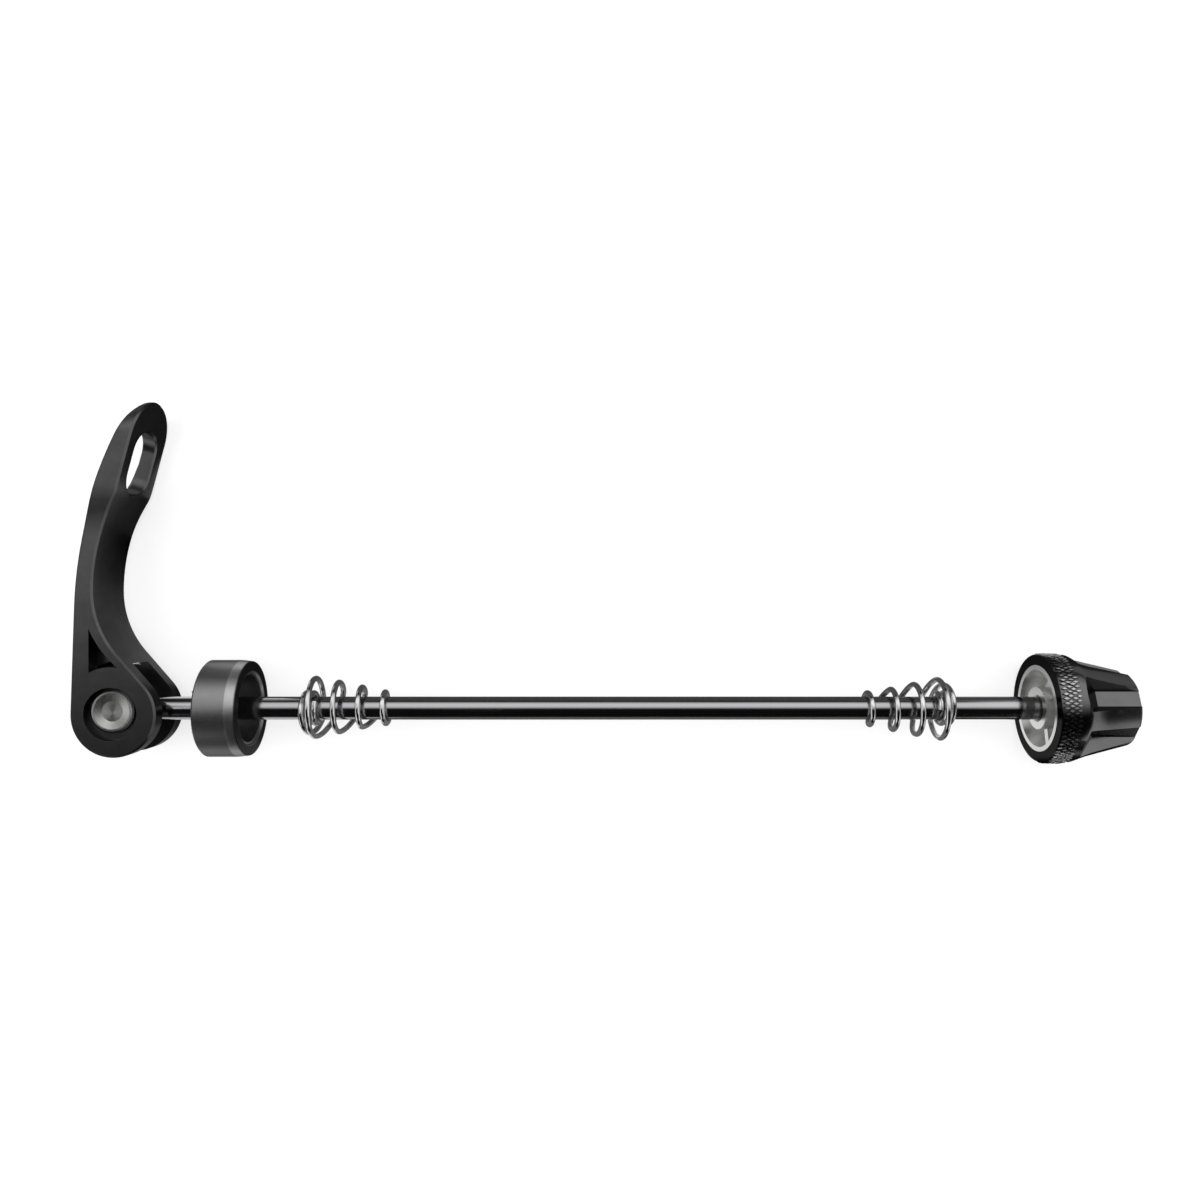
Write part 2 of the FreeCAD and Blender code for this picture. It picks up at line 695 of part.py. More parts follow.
def spring_path():
    """Points along a spring's wire: small grip coil, step out, large coil, cone and small end coil."""
    wire = S["wire_dia"].value
    small = ROD_RADIUS.value + S["grip_gap"].value + wire / 2
    large = (S["coil_dia"].value - wire) / 2
    grip_end = -S["grip_reach"].value
    grip_start = grip_end + (wire + S["coil_gap"].value) * GRIP_TURNS
    cone = S["cone_length"].value
    rise = S["large_rise"].value
    stretches = [
        (GRIP_TURNS, small, small, grip_start, grip_end, level),
        (STEP_TURNS, small, large, grip_end, -rise, late),
        (LARGE_TURNS, large, large, -rise, 0.0, level),
        (CONE_TURNS, large, small, 0.0, cone, climb),
        (END_TURNS, small, small, cone, cone + S["end_rise"].value, level),
    ]
    points = []
    turned = 0.0
    for turns, start_radius, end_radius, start_x, end_x, profile in stretches:
        count = round(turns * POINTS_PER_TURN)
        for step in range(1 if points else 0, count + 1):
            share = step / count
            angle = 2 * math.pi * (turned + share * turns)
            radius = start_radius + (end_radius - start_radius) * share
            x = start_x + (end_x - start_x) * profile(share, turns)
            points.append(V(x, -radius * math.sin(angle), radius * math.cos(angle)))
        turned += turns
    return points


def wire_section(before, point, after):
    """Corners of the spring's wire at a point of its path."""
    along = (after - before).normalize()
    across = along.cross(V(1, 0, 0)).normalize()
    upward = along.cross(across)
    radius = S["wire_dia"].value / 2
    angles = [2 * math.pi * number / WIRE_CORNERS for number in range(WIRE_CORNERS)]
    return [point + (across * math.cos(angle) + upward * math.sin(angle)) * radius for angle in angles]


def flat_face(corners):
    return Part.Face(Part.makePolygon(corners + corners[:1]))


def make_spring(label, station, turn=ZERO, half_turn=False):
    """Conical spring of round wire, drawn with a few flat facets round the wire."""
    points = spring_path()
    befores = points[:1] + points[:-1]
    afters = points[1:] + points[-1:]
    sections = [wire_section(*spots) for spots in zip(befores, points, afters)]
    facets = [flat_face(sections[0]), flat_face(sections[-1])]
    for low, high in zip(sections, sections[1:]):
        for corner in range(WIRE_CORNERS):
            beside = (corner + 1) % WIRE_CORNERS
            facets.append(flat_face([low[corner], low[beside], high[beside]]))
            facets.append(flat_face([low[corner], high[beside], high[corner]]))
    skin = Part.makeShell(facets)
    skin.sewShape()
    spring = DOC.addObject("Part::Feature", label)
    spring.Label = label
    spring.Shape = Part.makeSolid(skin)
    place(spring, station, turn, half_turn)
    return spring


def make_nut_shell():
    """Moulded nut with a knurled rim, a fluted cone and a bore for the core and the lock ring."""
    radius = S["nut_dia"] / 2
    collar = radius - S["collar_drop"]
    collar_end = S["rim_length"] + S["collar_length"]
    length = S["nut_length"]
    section = [
        (ZERO, S["core_dia"] / 2),
        (ZERO, radius - S["nut_bevel"]),
        (S["nut_bevel"], radius),
        (S["rim_length"] - S["collar_drop"], radius),
        (S["rim_length"], collar),
        (collar_end, collar),
        (collar_end + S["shoulder_length"], collar - S["shoulder_drop"]),
        (length - S["nose_bevel"], S["nose_dia"] / 2),
        (length, S["nose_dia"] / 2 - S["nose_bevel"]),
        (length, S["lock_dia"] / 2),
        (CORE_LENGTH, S["lock_dia"] / 2),
        (CORE_LENGTH, S["core_shank_dia"] / 2),
        (S["core_flange"], S["core_shank_dia"] / 2),
        (S["core_flange"], S["core_dia"] / 2),
    ]
    body = new_body("nut_shell")
    sketch = new_sketch(body, "nut_section", "XZ_Plane")
    draw_outline(sketch, section)
    revolve(body, "nut_turning", sketch, "H_Axis")
    flute = body.newObject("PartDesign::SubtractiveWedge", "flute")
    flute.AttachmentSupport = [(origin_feature(body, "XY_Plane"), "")]
    flute.MapMode = "FlatFace"
    flute.AttachmentOffset = FreeCAD.Placement(V(0, 0, 0), FreeCAD.Rotation(V(1, 0, 0), 90))
    floor = S["flute_floor"]
    depth = collar - floor
    top = radius + MARGIN
    half = S["flute_width"] / 2
    wide = half + (top - floor) * tangent(S["flute_slope"])
    ramp_foot = S["flute_start"] + S["flute_ramp"]
    limits = {
        "Ymin": floor,
        "Ymax": top,
        "Xmin": ramp_foot,
        "Xmax": length + MARGIN,
        "X2min": ramp_foot - (top - floor) * S["flute_ramp"] / depth,
        "X2max": length + MARGIN,
        "Zmin": -half,
        "Zmax": half,
        "Z2min": -wide,
        "Z2max": wide,
    }
    for name, size in limits.items():
        setattr(flute, name, size.value)
        bind(flute, name, size)
    DOC.recompute()
    polar(body, "flutes", flute, "X_Axis", FLUTE_COUNT)
    place(body, NUT_FACE, S["flute_turn"])
    return body


def make_nut_core():
    """Threaded metal core, ribbed between its boss and its rim."""
    radius = S["core_dia"] / 2
    rim = radius - S["core_rim"]
    shank = S["core_shank_dia"] / 2
    boss = S["boss_dia"] / 2
    hole = ROD_RADIUS + S["thread_gap"]
    section = [
        (S["boss_mouth"], hole),
        (ZERO, hole + S["boss_mouth"]),
        (ZERO, boss),
        (S["core_hollow"], boss),
        (S["core_hollow"], rim - S["core_slope"]),
        (ZERO, rim),
        (ZERO, radius),
        (S["core_flange"], radius),
        (S["core_flange"], shank),
        (CORE_LENGTH, shank),
        (CORE_LENGTH, hole),
    ]
    body = new_body("nut_core")
    sketch = new_sketch(body, "core_section", "XZ_Plane")
    draw_outline(sketch, section)
    revolve(body, "core_turning", sketch, "H_Axis")
    rib_foot = new_sketch(body, "rib_section", "YZ_Plane", S["rib_drop"])
    half = S["rib_width"] / 2
    draw_box(rib_foot, (-half, (hole + boss) / 2), (half, rim))
    depth = (S["core_hollow"] + S["core_flange"]) / 2 - S["rib_drop"]
    rib = extrude(body, "Pad", "rib", rib_foot, depth)
    polar(body, "ribs", rib, "X_Axis", RIB_COUNT)
    place(body, NUT_FACE, S["rib_turn"])
    return body


def make_lock_ring():
    """Nylon ring in the nut's nose that grips the rod's thread."""
    body = new_body("lock_ring")
    sketch = new_sketch(body, "lock_section", "YZ_Plane")
    draw_circle(sketch, (ZERO, ZERO), S["lock_dia"] / 2 - S["running_gap"])
    draw_circle(sketch, (ZERO, ZERO), ROD_RADIUS + S["running_gap"])
    extrude(body, "Pad", "lock_length_pad", sketch, S["lock_length"])
    place(body, NUT_FACE + LOCK_FLOOR)
    return body


def write_pieces(pieces):
    """Check every feature and solid, then write one file for each piece."""
    DOC.recompute()
    failed = [item.Name for item in DOC.Objects if "Invalid" in item.State or "Error" in item.State]
    if failed:
        raise RuntimeError(f"features failed: {failed}")
    os.makedirs("parts", exist_ok=True)
    for piece in pieces:
        shape = piece.Shape
        if shape.isNull() or not shape.isValid() or len(shape.Solids) != 1:
            raise RuntimeError(f"{piece.Label} is not one sound solid")
        shape.exportStep(f"parts/{piece.Label}.step")


def main():
    pieces = [
        make_rod(),
        make_barrel(),
        make_lever(),
        make_cup(),
        make_seat(),
        make_spring("spring_lever_side", CUP_FACE + S["lever_spring_gap"], S["lever_spring_turn"]),
        make_spring("spring_nut_side", NUT_FACE - S["nut_spring_gap"], half_turn=True),
        make_nut_shell(),
        make_nut_core(),
        make_lock_ring(),
    ]
    write_pieces(pieces)


main()
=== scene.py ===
import json
import math

import bmesh
import bpy
from bpy.props import FloatProperty, FloatVectorProperty, IntProperty, PointerProperty
from mathutils import Matrix, Vector


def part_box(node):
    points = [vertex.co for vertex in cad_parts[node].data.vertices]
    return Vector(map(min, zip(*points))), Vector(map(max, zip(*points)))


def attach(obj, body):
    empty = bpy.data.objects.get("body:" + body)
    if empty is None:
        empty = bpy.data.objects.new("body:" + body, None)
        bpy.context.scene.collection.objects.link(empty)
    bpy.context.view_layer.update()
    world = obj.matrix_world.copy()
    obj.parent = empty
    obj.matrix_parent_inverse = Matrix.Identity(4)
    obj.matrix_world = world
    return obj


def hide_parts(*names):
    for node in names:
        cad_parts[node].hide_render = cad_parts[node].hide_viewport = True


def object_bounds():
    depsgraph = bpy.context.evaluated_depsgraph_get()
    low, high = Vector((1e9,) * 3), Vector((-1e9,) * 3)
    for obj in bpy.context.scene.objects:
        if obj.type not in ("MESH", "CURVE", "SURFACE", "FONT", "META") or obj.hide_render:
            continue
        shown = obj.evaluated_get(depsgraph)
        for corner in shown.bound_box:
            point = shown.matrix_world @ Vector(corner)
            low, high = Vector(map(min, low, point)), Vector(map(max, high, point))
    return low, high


bl_info = {
    "name": "Quick-release skewer finish",
    "version": (1, 0, 0),
    "blender": (4, 5, 0),
    "location": "View3D > Sidebar > Skewer",
    "description": "Finishes a bicycle quick-release skewer: "
                   "rod thread, springs, knurl, metals and a studio",
    "category": "Object",
}

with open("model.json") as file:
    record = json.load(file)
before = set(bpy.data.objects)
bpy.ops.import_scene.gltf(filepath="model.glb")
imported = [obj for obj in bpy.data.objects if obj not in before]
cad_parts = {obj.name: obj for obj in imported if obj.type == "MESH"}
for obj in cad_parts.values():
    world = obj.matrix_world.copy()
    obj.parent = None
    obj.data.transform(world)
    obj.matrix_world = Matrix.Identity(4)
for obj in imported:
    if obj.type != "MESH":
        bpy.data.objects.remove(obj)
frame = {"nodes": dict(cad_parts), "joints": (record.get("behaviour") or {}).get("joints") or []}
CAD_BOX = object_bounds()
NODES = frame["nodes"]
JOINTS = {joint["name"]: joint for joint in frame["joints"]}

# The lever swings about an axis square to its flat side, and that side is tilted
# where the part lies on the floor
PIVOT = Vector(JOINTS["lever_swing"]["pos_m"])
SIDE_UP = Vector(JOINTS["lever_swing"]["axis"]).normalized()
TILT = math.atan2(SIDE_UP.y, SIDE_UP.z)
ROLLED = Matrix.Rotation(-TILT, 4, "X")
LEVER_WAY = ROLLED @ Vector((0.0, 1.0, 0.0))

FLOOR_HEIGHT = CAD_BOX[0].z
ROD_LOW, ROD_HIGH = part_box("skewer_rod")
RIM_LOW, RIM_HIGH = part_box("nut_shell")
_, CUP_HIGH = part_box("cam_cup")


# Sizes and colours that a user would change

def length_property(name, description, default):
    """Size, which is never negative."""
    return FloatProperty(name=name, description=description, default=default, min=0.0,
                         unit="LENGTH", precision=5)


def place_property(name, description, default):
    """Place on either side of the origin."""
    return FloatProperty(name=name, description=description, default=default,
                         unit="LENGTH", precision=5)


def colour_property(name, description, default):
    """Colour of a finish."""
    return FloatVectorProperty(name=name, description=description, default=default,
                               min=0.0, max=1.0, size=3, subtype="COLOR")


def count_property(name, description, default, least, most):
    """Whole number between two limits."""
    return IntProperty(name=name, description=description, default=default, min=least, max=most)


class RodLook(bpy.types.PropertyGroup):
    """Rod and its thread."""

    thread_length: length_property(
        "Thread length", "Threaded stretch at the nut's end", 0.0162)
    thread_pitch: length_property(
        "Thread pitch", "Distance between threads", 0.0008)
    thread_depth: length_property(
        "Thread depth", "Depth of the thread's grooves", 0.00042)
    end_bevel: length_property(
        "End bevel", "Bevel on the rod's ends", 0.0005)
    steel: colour_property(
        "Rod steel", "Colour of the polished rod", (0.38, 0.38, 0.39))
    # Painted shade: the rod end colour darkens the steel before the nut and stands in for the nut's
    # dark reflection
    end: colour_property(
        "Rod end", "Colour of the oiled rod in front of the nut", (0.20, 0.20, 0.20))
    end_length: length_property(
        "Darkened length", "Darkened stretch at the nut's end", 0.0208)
    barrel: colour_property(
        "Barrel steel", "Colour of the turned pivot barrel", (0.50, 0.50, 0.49))


class LeverLook(bpy.types.PropertyGroup):
    """Black lever, cup and cam seat."""

    lever: colour_property(
        "Lever black", "Reflected colour of the lever's anodised skin", (0.095, 0.095, 0.097))
    cup: colour_property(
        "Cup black", "Reflected colour of the cup's anodised skin", (0.25, 0.25, 0.252))
    # Painted highlight: the cup bevel colour is lighter than the cup's skin and stands in for the
    # light that its chamfer catches
    bevel: colour_property(
        "Cup bevel", "Reflected colour of the cup's turned bevel", (0.42, 0.42, 0.42))
    bevel_highlight_start: length_property(
        "Cup bevel start", "Start of the cup's turned bevel behind its clamping face", 0.00215)
    bevel_highlight_radius: length_property(
        "Cup bevel radius", "Least radius of the cup's turned bevel", 0.01022)
    # Painted shade: the cup face colour darkens the clamping face and stands in for the dark it
    # reflects
    face: colour_property(
        "Cup face", "Reflected colour of the cup's clamping face", (0.09, 0.09, 0.09))
    hollow: colour_property(
        "Cup hollow", "Reflected colour of the cup's turned hollow", (0.30, 0.30, 0.30))
    hollow_radius: length_property(
        "Cup hollow radius", "Radius inside which the cup is turned bright", 0.0081)
    hollow_depth: length_property(
        "Cup hollow depth", "Depth of the cup's hollow", 0.0051)
    seat: colour_property(
        "Seat black", "Colour of the nylon cam seat", (0.008, 0.008, 0.0085))
    edge_round: length_property(
        "Edge rounding", "Rounding of the machined edges", 0.00014)


class SpringLook(bpy.types.PropertyGroup):
    """Conical springs of round wire."""

    wire: length_property(
        "Wire diameter", "Diameter of the spring wire", 0.0012)
    grip: length_property(
        "Grip radius", "Middle of the wire in the small coils, from the axle", 0.0033)
    coil: length_property(
        "Coil radius", "Middle of the wire in the large coil, from the axle", 0.00645)
    pitch: length_property(
        "Grip pitch", "Pitch of the closed grip coils", 0.0014)
    reach: length_property(
        "Grip reach", "Reach of the grip coil past the large coil", 0.0022)
    rise: length_property(
        "Coil rise", "Rise of the large coil", 0.00025)
    cone: length_property(
        "Cone length", "Length of the conical run", 0.0151)
    end: length_property(
        "End rise", "Rise of the small end coil", 0.00035)
    lever_station: place_property(
        "Lever-side station", "Large coil of the lever-side spring", -0.07134)
    nut_station: place_property(
        "Nut-side station", "Large coil of the nut-side spring", 0.0639)
    lever_turn: FloatProperty(
        name="Lever-side turn", description="Turn of the lever-side spring about the rod",
        default=math.radians(30.0), subtype="ANGLE")
    sides: count_property(
        "Wire sides", "Sides of the wire's round section", 20, 6, 64)
    steel: colour_property(
        "Spring steel", "Colour of the bright drawn wire", (0.60, 0.60, 0.60))


class NutLook(bpy.types.PropertyGroup):
    """Nut, its knurl, core and lock ring."""

    count: count_property(
        "Knurl count", "Points of the knurl round the rim", 72, 12, 160)
    rows: count_property(
        "Knurl rows", "Rows of knurl points", 4, 1, 12)
    start: length_property(
        "Knurl start", "First row behind the clamping face", 0.00105)
    spacing: length_property(
        "Knurl spacing", "Distance between rows", 0.00086)
    height: length_property(
        "Knurl height", "Height of the points over their root", 0.00036)
    seed: count_property(
        "Knurl seed", "Seed of the knurl's unevenness", 7, 0, 1000)
    shell: colour_property(
        "Nut black", "Reflected colour of the glossy nut", (0.11, 0.11, 0.112))
    # Painted shade: the nut face colour darkens the clamping face and stands in for the dark it
    # reflects
    face: colour_property(
        "Nut face", "Reflected colour of the nut's clamping face", (0.035, 0.035, 0.035))
    # Painted highlight: the knurl's tips get a lighter colour that stands in for their glints
    glinting: colour_property(
        "Glinting knurl", "Reflected colour of the knurl's worn tips", (0.36, 0.36, 0.36))
    core: colour_property(
        "Core metal", "Colour of the bare metal core", (0.74, 0.74, 0.73))
    core_round: length_property(
        "Core rounding", "Rounding of the core's edges", 0.00012)
    lock: colour_property(
        "Lock ring", "Colour of the nylon lock ring", (0.62, 0.62, 0.58))
    lock_round: length_property(
        "Lock ring rounding", "Rounding of the lock ring's edges", 0.00015)


class StudioLook(bpy.types.PropertyGroup):
    """Camera and floor."""

    distance: length_property(
        "Camera distance", "Camera above the rod", 0.2065)
    along: place_property(
        "Camera along", "Camera's place along the rod", -0.0096)
    across: place_property(
        "Camera across", "Camera's place towards the lever's tip", 0.0235)
    lens: FloatProperty(
        name="Focal length", description="Camera's focal length",
        default=28.5, min=10.0, unit="CAMERA")
    floor: colour_property(
        "Floor white", "Colour of the floor", (0.86, 0.86, 0.86))


LOOKS = {
    "skewer_rod_look": RodLook,
    "skewer_lever_look": LeverLook,
    "skewer_spring_look": SpringLook,
    "skewer_nut_look": NutLook,
    "skewer_studio_look": StudioLook,
}


# Nodes

def add_node(tree, kind, values=None, **settings):
    """Add a node, set its plain settings and the values of its sockets."""
    node = tree.nodes.new(kind)
    for name, value in settings.items():
        setattr(node, name, value)
    for name, value in (values or {}).items():
        node.inputs[name].default_value = value
    return node


def math_node(tree, operation, first, second=None):
    """Math node whose inputs are sockets or numbers."""
    node = add_node(tree, "ShaderNodeMath", operation=operation)
    for socket, value in zip(node.inputs, (first, second)):
        if value is None:
            continue
        if isinstance(value, (int, float)):
            socket.default_value = value
        else:
            tree.links.new(value, socket)
    return node.outputs[0]


def map_range(tree, value, values):
    """Value mapped from one range to another."""
    node = add_node(tree, "ShaderNodeMapRange", values)
    tree.links.new(value, node.inputs["Value"])
    return node.outputs["Result"]


def vector_parts(tree, vector):
    """Outputs of a vector's three parts."""
    apart = add_node(tree, "ShaderNodeSeparateXYZ")
    tree.links.new(vector, apart.inputs["Vector"])
    return apart.outputs


def vector_of(tree, **parts):
    """Vector from the sockets of its parts; a part that isn't given is 0."""
    node = add_node(tree, "ShaderNodeCombineXYZ")
    for name, socket in parts.items():
        tree.links.new(socket, node.inputs[name])
    return node.outputs["Vector"]


def vector_length(tree, vector):
    """Length of a vector."""
    node = add_node(tree, "ShaderNodeVectorMath", operation="LENGTH")
    tree.links.new(vector, node.inputs[0])
    return node.outputs["Value"]


def mix_shaders(tree, share, first, second):
    """Mix of two shaders by a share."""
    node = add_node(tree, "ShaderNodeMixShader")
    for socket, source in zip(node.inputs, (share, first, second)):
        tree.links.new(source, socket)
    return node.outputs[0]


# Materials

EVEN = (1.0, 1.0, 1.0)
NOISE_LOW, NOISE_HIGH = 0.3, 0.7
CLOUD_DETAIL = 2.0
METAL_CLOUDS, METAL_GRAIN_DEPTH = 0.06, 0.00002
NYLON_GRAIN, NYLON_BUMP, NYLON_SHADES = 2600.0, 0.06, (0.85, 1.2)
NYLON_CLOUDS, NYLON_GRAIN_DEPTH = 0.05, 0.00003
LATHE_STREAKS, LATHE_GRAIN, LATHE_SHADES = 0.75, 1800.0, (0.97, 1.03)
LATHE_RINGS = {"Distortion": 0.6, "Detail": 1.0}
LATHE_BUMP, LATHE_GROOVE_DEPTH = 0.05, 0.00001


def new_material(name):
    """Material with its node tree and its Principled shader."""
    material = bpy.data.materials.new(name)
    material.use_nodes = True
    return material, material.node_tree, material.node_tree.nodes["Principled BSDF"]


def mapped(tree, scale=EVEN, offset=(0.0, 0.0, 0.0), turn=(0.0, 0.0, 0.0)):
    """Object coordinates through a Mapping node."""
    coordinates = add_node(tree, "ShaderNodeTexCoord")
    values = {"Scale": scale, "Location": offset, "Rotation": turn}
    mapping = add_node(tree, "ShaderNodeMapping", values)
    tree.links.new(coordinates.outputs["Object"], mapping.inputs["Vector"])
    return mapping.outputs["Vector"]


def noise(tree, vector, scale, detail=3.0):
    """Noise of a scale."""
    node = add_node(tree, "ShaderNodeTexNoise", {"Scale": scale, "Detail": detail})
    tree.links.new(vector, node.inputs["Vector"])
    return node.outputs["Fac"]


def spread(tree, value, low, high):
    """Noise value mapped to a range."""
    values = {"From Min": NOISE_LOW, "From Max": NOISE_HIGH, "To Min": low, "To Max": high}
    return map_range(tree, value, values)


def tinted(tree, value, colour, low, high):
    """Colour that varies between two shades of itself."""
    ramp = add_node(tree, "ShaderNodeValToRGB")
    dark, light = ramp.color_ramp.elements
    dark.position, light.position = NOISE_LOW, NOISE_HIGH
    dark.color = (*(part * low for part in colour), 1.0)
    light.color = (*(min(part * high, 1.0) for part in colour), 1.0)
    tree.links.new(value, ramp.inputs["Fac"])
    return ramp.outputs["Color"]


def bumped(tree, shader, height, strength, distance):
    """Give a shader a bump."""
    bump = add_node(tree, "ShaderNodeBump", {"Strength": strength, "Distance": distance})
    tree.links.new(height, bump.inputs["Height"])
    tree.links.new(bump.outputs["Normal"], shader.inputs["Normal"])


def grained(name, colour, rough, grain, stretch, shades, bump, clouds, depth):
    """Material whose grain varies its gloss and height, and whose colour has faint clouds."""
    material, tree, shader = new_material(name)
    vector = mapped(tree, stretch)
    fine = noise(tree, vector, grain)
    broad = noise(tree, vector, grain * clouds, CLOUD_DETAIL)
    tree.links.new(tinted(tree, broad, colour, *shades), shader.inputs["Base Color"])
    tree.links.new(spread(tree, fine, *rough), shader.inputs["Roughness"])
    bumped(tree, shader, fine, bump, depth)
    return material, shader


def metal(name, colour, rough, grain, stretch=EVEN, bump=0.05, shades=(0.9, 1.08), edge=1.0):
    """Bare or anodised metal; a low edge keeps its grazing reflections dark."""
    material, shader = grained(name, colour, rough, grain, stretch, shades, bump,
                               METAL_CLOUDS, METAL_GRAIN_DEPTH)
    shader.inputs["Metallic"].default_value = 1.0
    shader.inputs["Specular Tint"].default_value = (edge, edge, edge, 1.0)
    return material


def nylon(name, colour, rough):
    """Moulded nylon with a fine skin grain."""
    material, _ = grained(name, colour, rough, NYLON_GRAIN, EVEN, NYLON_SHADES, NYLON_BUMP,
                          NYLON_CLOUDS, NYLON_GRAIN_DEPTH)
    return material


def turned_metal(name, colour, rough, centre, turn, ring_scale):
    """Lathe-turned metal with fine rings round an axis and streaks of light across them."""
    material, tree, shader = new_material(name)
    shader.inputs["Metallic"].default_value = 1.0
    shader.inputs["Anisotropic"].default_value = LATHE_STREAKS
    grooves = add_node(tree, "ShaderNodeTangent", direction_type="RADIAL", axis="Z")
    tree.links.new(grooves.outputs["Tangent"], shader.inputs["Tangent"])
    vector = mapped(tree, EVEN, tuple(-part for part in centre), turn)
    values = {"Scale": ring_scale, **LATHE_RINGS}
    rings = add_node(tree, "ShaderNodeTexWave", values, wave_type="RINGS", rings_direction="Z")
    tree.links.new(vector, rings.inputs["Vector"])
    fine = noise(tree, vector, LATHE_GRAIN)
    tree.links.new(tinted(tree, fine, colour, *LATHE_SHADES), shader.inputs["Base Color"])
    tree.links.new(spread(tree, fine, *rough), shader.inputs["Roughness"])
    bumped(tree, shader, rings.outputs["Fac"], LATHE_BUMP, LATHE_GROOVE_DEPTH)
    return material


def share_past(tree, socket, limit, softness):
    """Share that goes from 0 to 1 as a value passes a limit."""
    return map_range(tree, socket, {"From Min": limit - softness, "From Max": limit + softness})


def place_on_rod(tree):
    """Station along the rod and distance from its axis."""
    parts = vector_parts(tree, mapped(tree))
    return parts["X"], vector_length(tree, vector_of(tree, Y=parts["Y"], Z=parts["Z"]))


def blend_colour(tree, share, colour):
    """Blend the shader's colour into another one by a share."""
    shader = tree.nodes["Principled BSDF"]
    plain = shader.inputs["Base Color"].links[0].from_socket
    blend = add_node(tree, "ShaderNodeMix", data_type="RGBA")
    first, second = [socket for socket in blend.inputs if socket.type == "RGBA"]
    result = next(socket for socket in blend.outputs if socket.type == "RGBA")
    tree.links.new(share, blend.inputs[0])
    tree.links.new(plain, first)
    second.default_value = (*colour, 1.0)
    tree.links.new(result, shader.inputs["Base Color"])


# Meshes

MERGE_DISTANCE = 1e-6
FLAT_ANGLE = math.radians(0.4)
BARREL_ANGLE = math.radians(11.0)
SHELL_ANGLE = math.radians(24.0)
SOFT_ANGLE = math.radians(40.0)
SQUARE_ANGLE = math.radians(60.0)
ROUNDING_SEGMENTS = 2


def new_object(name, data):
    """Object in the scene's collection."""
    item = bpy.data.objects.new(name, data)
    bpy.context.scene.collection.objects.link(item)
    return item


def built_mesh(name, builder):
    """Mesh of all that a builder holds."""
    mesh = bpy.data.meshes.new(name)
    builder.to_mesh(mesh)
    builder.free()
    return mesh


def add_piece(name, mesh, material, body, node=None):
    """Put a finished mesh in the scene, on its body and in place of its CAD node."""
    piece = new_object(name, mesh)
    mesh.materials.clear()
    mesh.materials.append(material)
    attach(piece, body)
    if node:
        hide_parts(node)


def smooth_by_angle(mesh, limit):
    """Smooth faces that meet at less than an angle, and keep the others sharp."""
    builder = bmesh.new()
    builder.from_mesh(mesh)
    for face in builder.faces:
        face.smooth = True
    for edge in builder.edges:
        edge.smooth = len(edge.link_faces) == 2 and edge.calc_face_angle(0.0) < limit
    builder.to_mesh(mesh)
    builder.free()


def merged_copy(node, name):
    """Copy of a CAD node's mesh with its loose triangles joined."""
    mesh = NODES[node].data.copy()
    mesh.name = name
    builder = bmesh.new()
    builder.from_mesh(mesh)
    bmesh.ops.remove_doubles(builder, verts=builder.verts, dist=MERGE_DISTANCE)
    builder.to_mesh(mesh)
    builder.free()
    return mesh


def plain_mesh(carrier):
    """Mesh that an object has after its modifiers."""
    graph = bpy.context.evaluated_depsgraph_get()
    return bpy.data.meshes.new_from_object(carrier.evaluated_get(graph))


def rounded_copy(node, name, width):
    """Joined copy of a CAD node with its square edges rounded and its flat faces shaded flat."""
    mesh = merged_copy(node, name)
    builder = bmesh.new()
    builder.from_mesh(mesh)
    bmesh.ops.dissolve_limit(builder, angle_limit=FLAT_ANGLE, verts=builder.verts,
                             edges=builder.edges)
    square = [edge for edge in builder.edges if edge.calc_face_angle(0.0) > SQUARE_ANGLE]
    bmesh.ops.bevel(builder, geom=square, offset=width, offset_type="OFFSET",
                    segments=ROUNDING_SEGMENTS, profile=0.5, affect="EDGES", clamp_overlap=True)
    builder.to_mesh(mesh)
    builder.free()
    smooth_by_angle(mesh, SOFT_ANGLE)
    carrier = new_object(name, mesh)
    weighted = carrier.modifiers.new("flat faces", "WEIGHTED_NORMAL")
    weighted.mode = "FACE_AREA"
    weighted.keep_sharp = True
    finished = plain_mesh(carrier)
    bpy.data.objects.remove(carrier)
    return finished


def turned_about_x(name, rings, sides):
    """Closed lathe mesh about X; each ring is a station and a function from angle to radius."""
    builder = bmesh.new()
    loops = []
    for station, radius_at in rings:
        loop = []
        for side in range(sides):
            angle = 2 * math.pi * side / sides
            radius = radius_at(angle)
            spot = (station, radius * math.sin(angle), radius * math.cos(angle))
            loop.append(builder.verts.new(spot))
        loops.append(loop)
    for low, high in zip(loops, loops[1:]):
        for side in range(sides):
            after = (side + 1) % sides
            builder.faces.new((low[side], low[after], high[after], high[side]))
    builder.faces.new(loops[0])
    builder.faces.new(list(reversed(loops[-1])))
    bmesh.ops.recalc_face_normals(builder, faces=builder.faces)
    mesh = built_mesh(name, builder)
    smooth_by_angle(mesh, SOFT_ANGLE)
    return mesh


# Geometry node trees

# Radii of a knurl point in row spacings, its stray in steps, and the limits of its scale
KNURL_CORNERS = 4
KNURL_TIP, KNURL_FOOT = 0.66, 0.95
STRAY_ALONG, STRAY_ROUND = 0.16, 0.10
KNURL_LEAST, KNURL_MOST = (0.85, 0.36, 0.70), (1.15, 0.50, 1.0)


def new_tree(name, inputs):
    """Geometry node tree with a geometry socket each way and named inputs."""
    tree = bpy.data.node_groups.new(name, "GeometryNodeTree")
    for way in ("INPUT", "OUTPUT"):
        tree.interface.new_socket("Geometry", in_out=way, socket_type="NodeSocketGeometry")
    for label, kind in inputs.items():
        tree.interface.new_socket(label, in_out="INPUT", socket_type="NodeSocket" + kind)
    start = add_node(tree, "NodeGroupInput")
    end = add_node(tree, "NodeGroupOutput")
    return tree, start.outputs, end


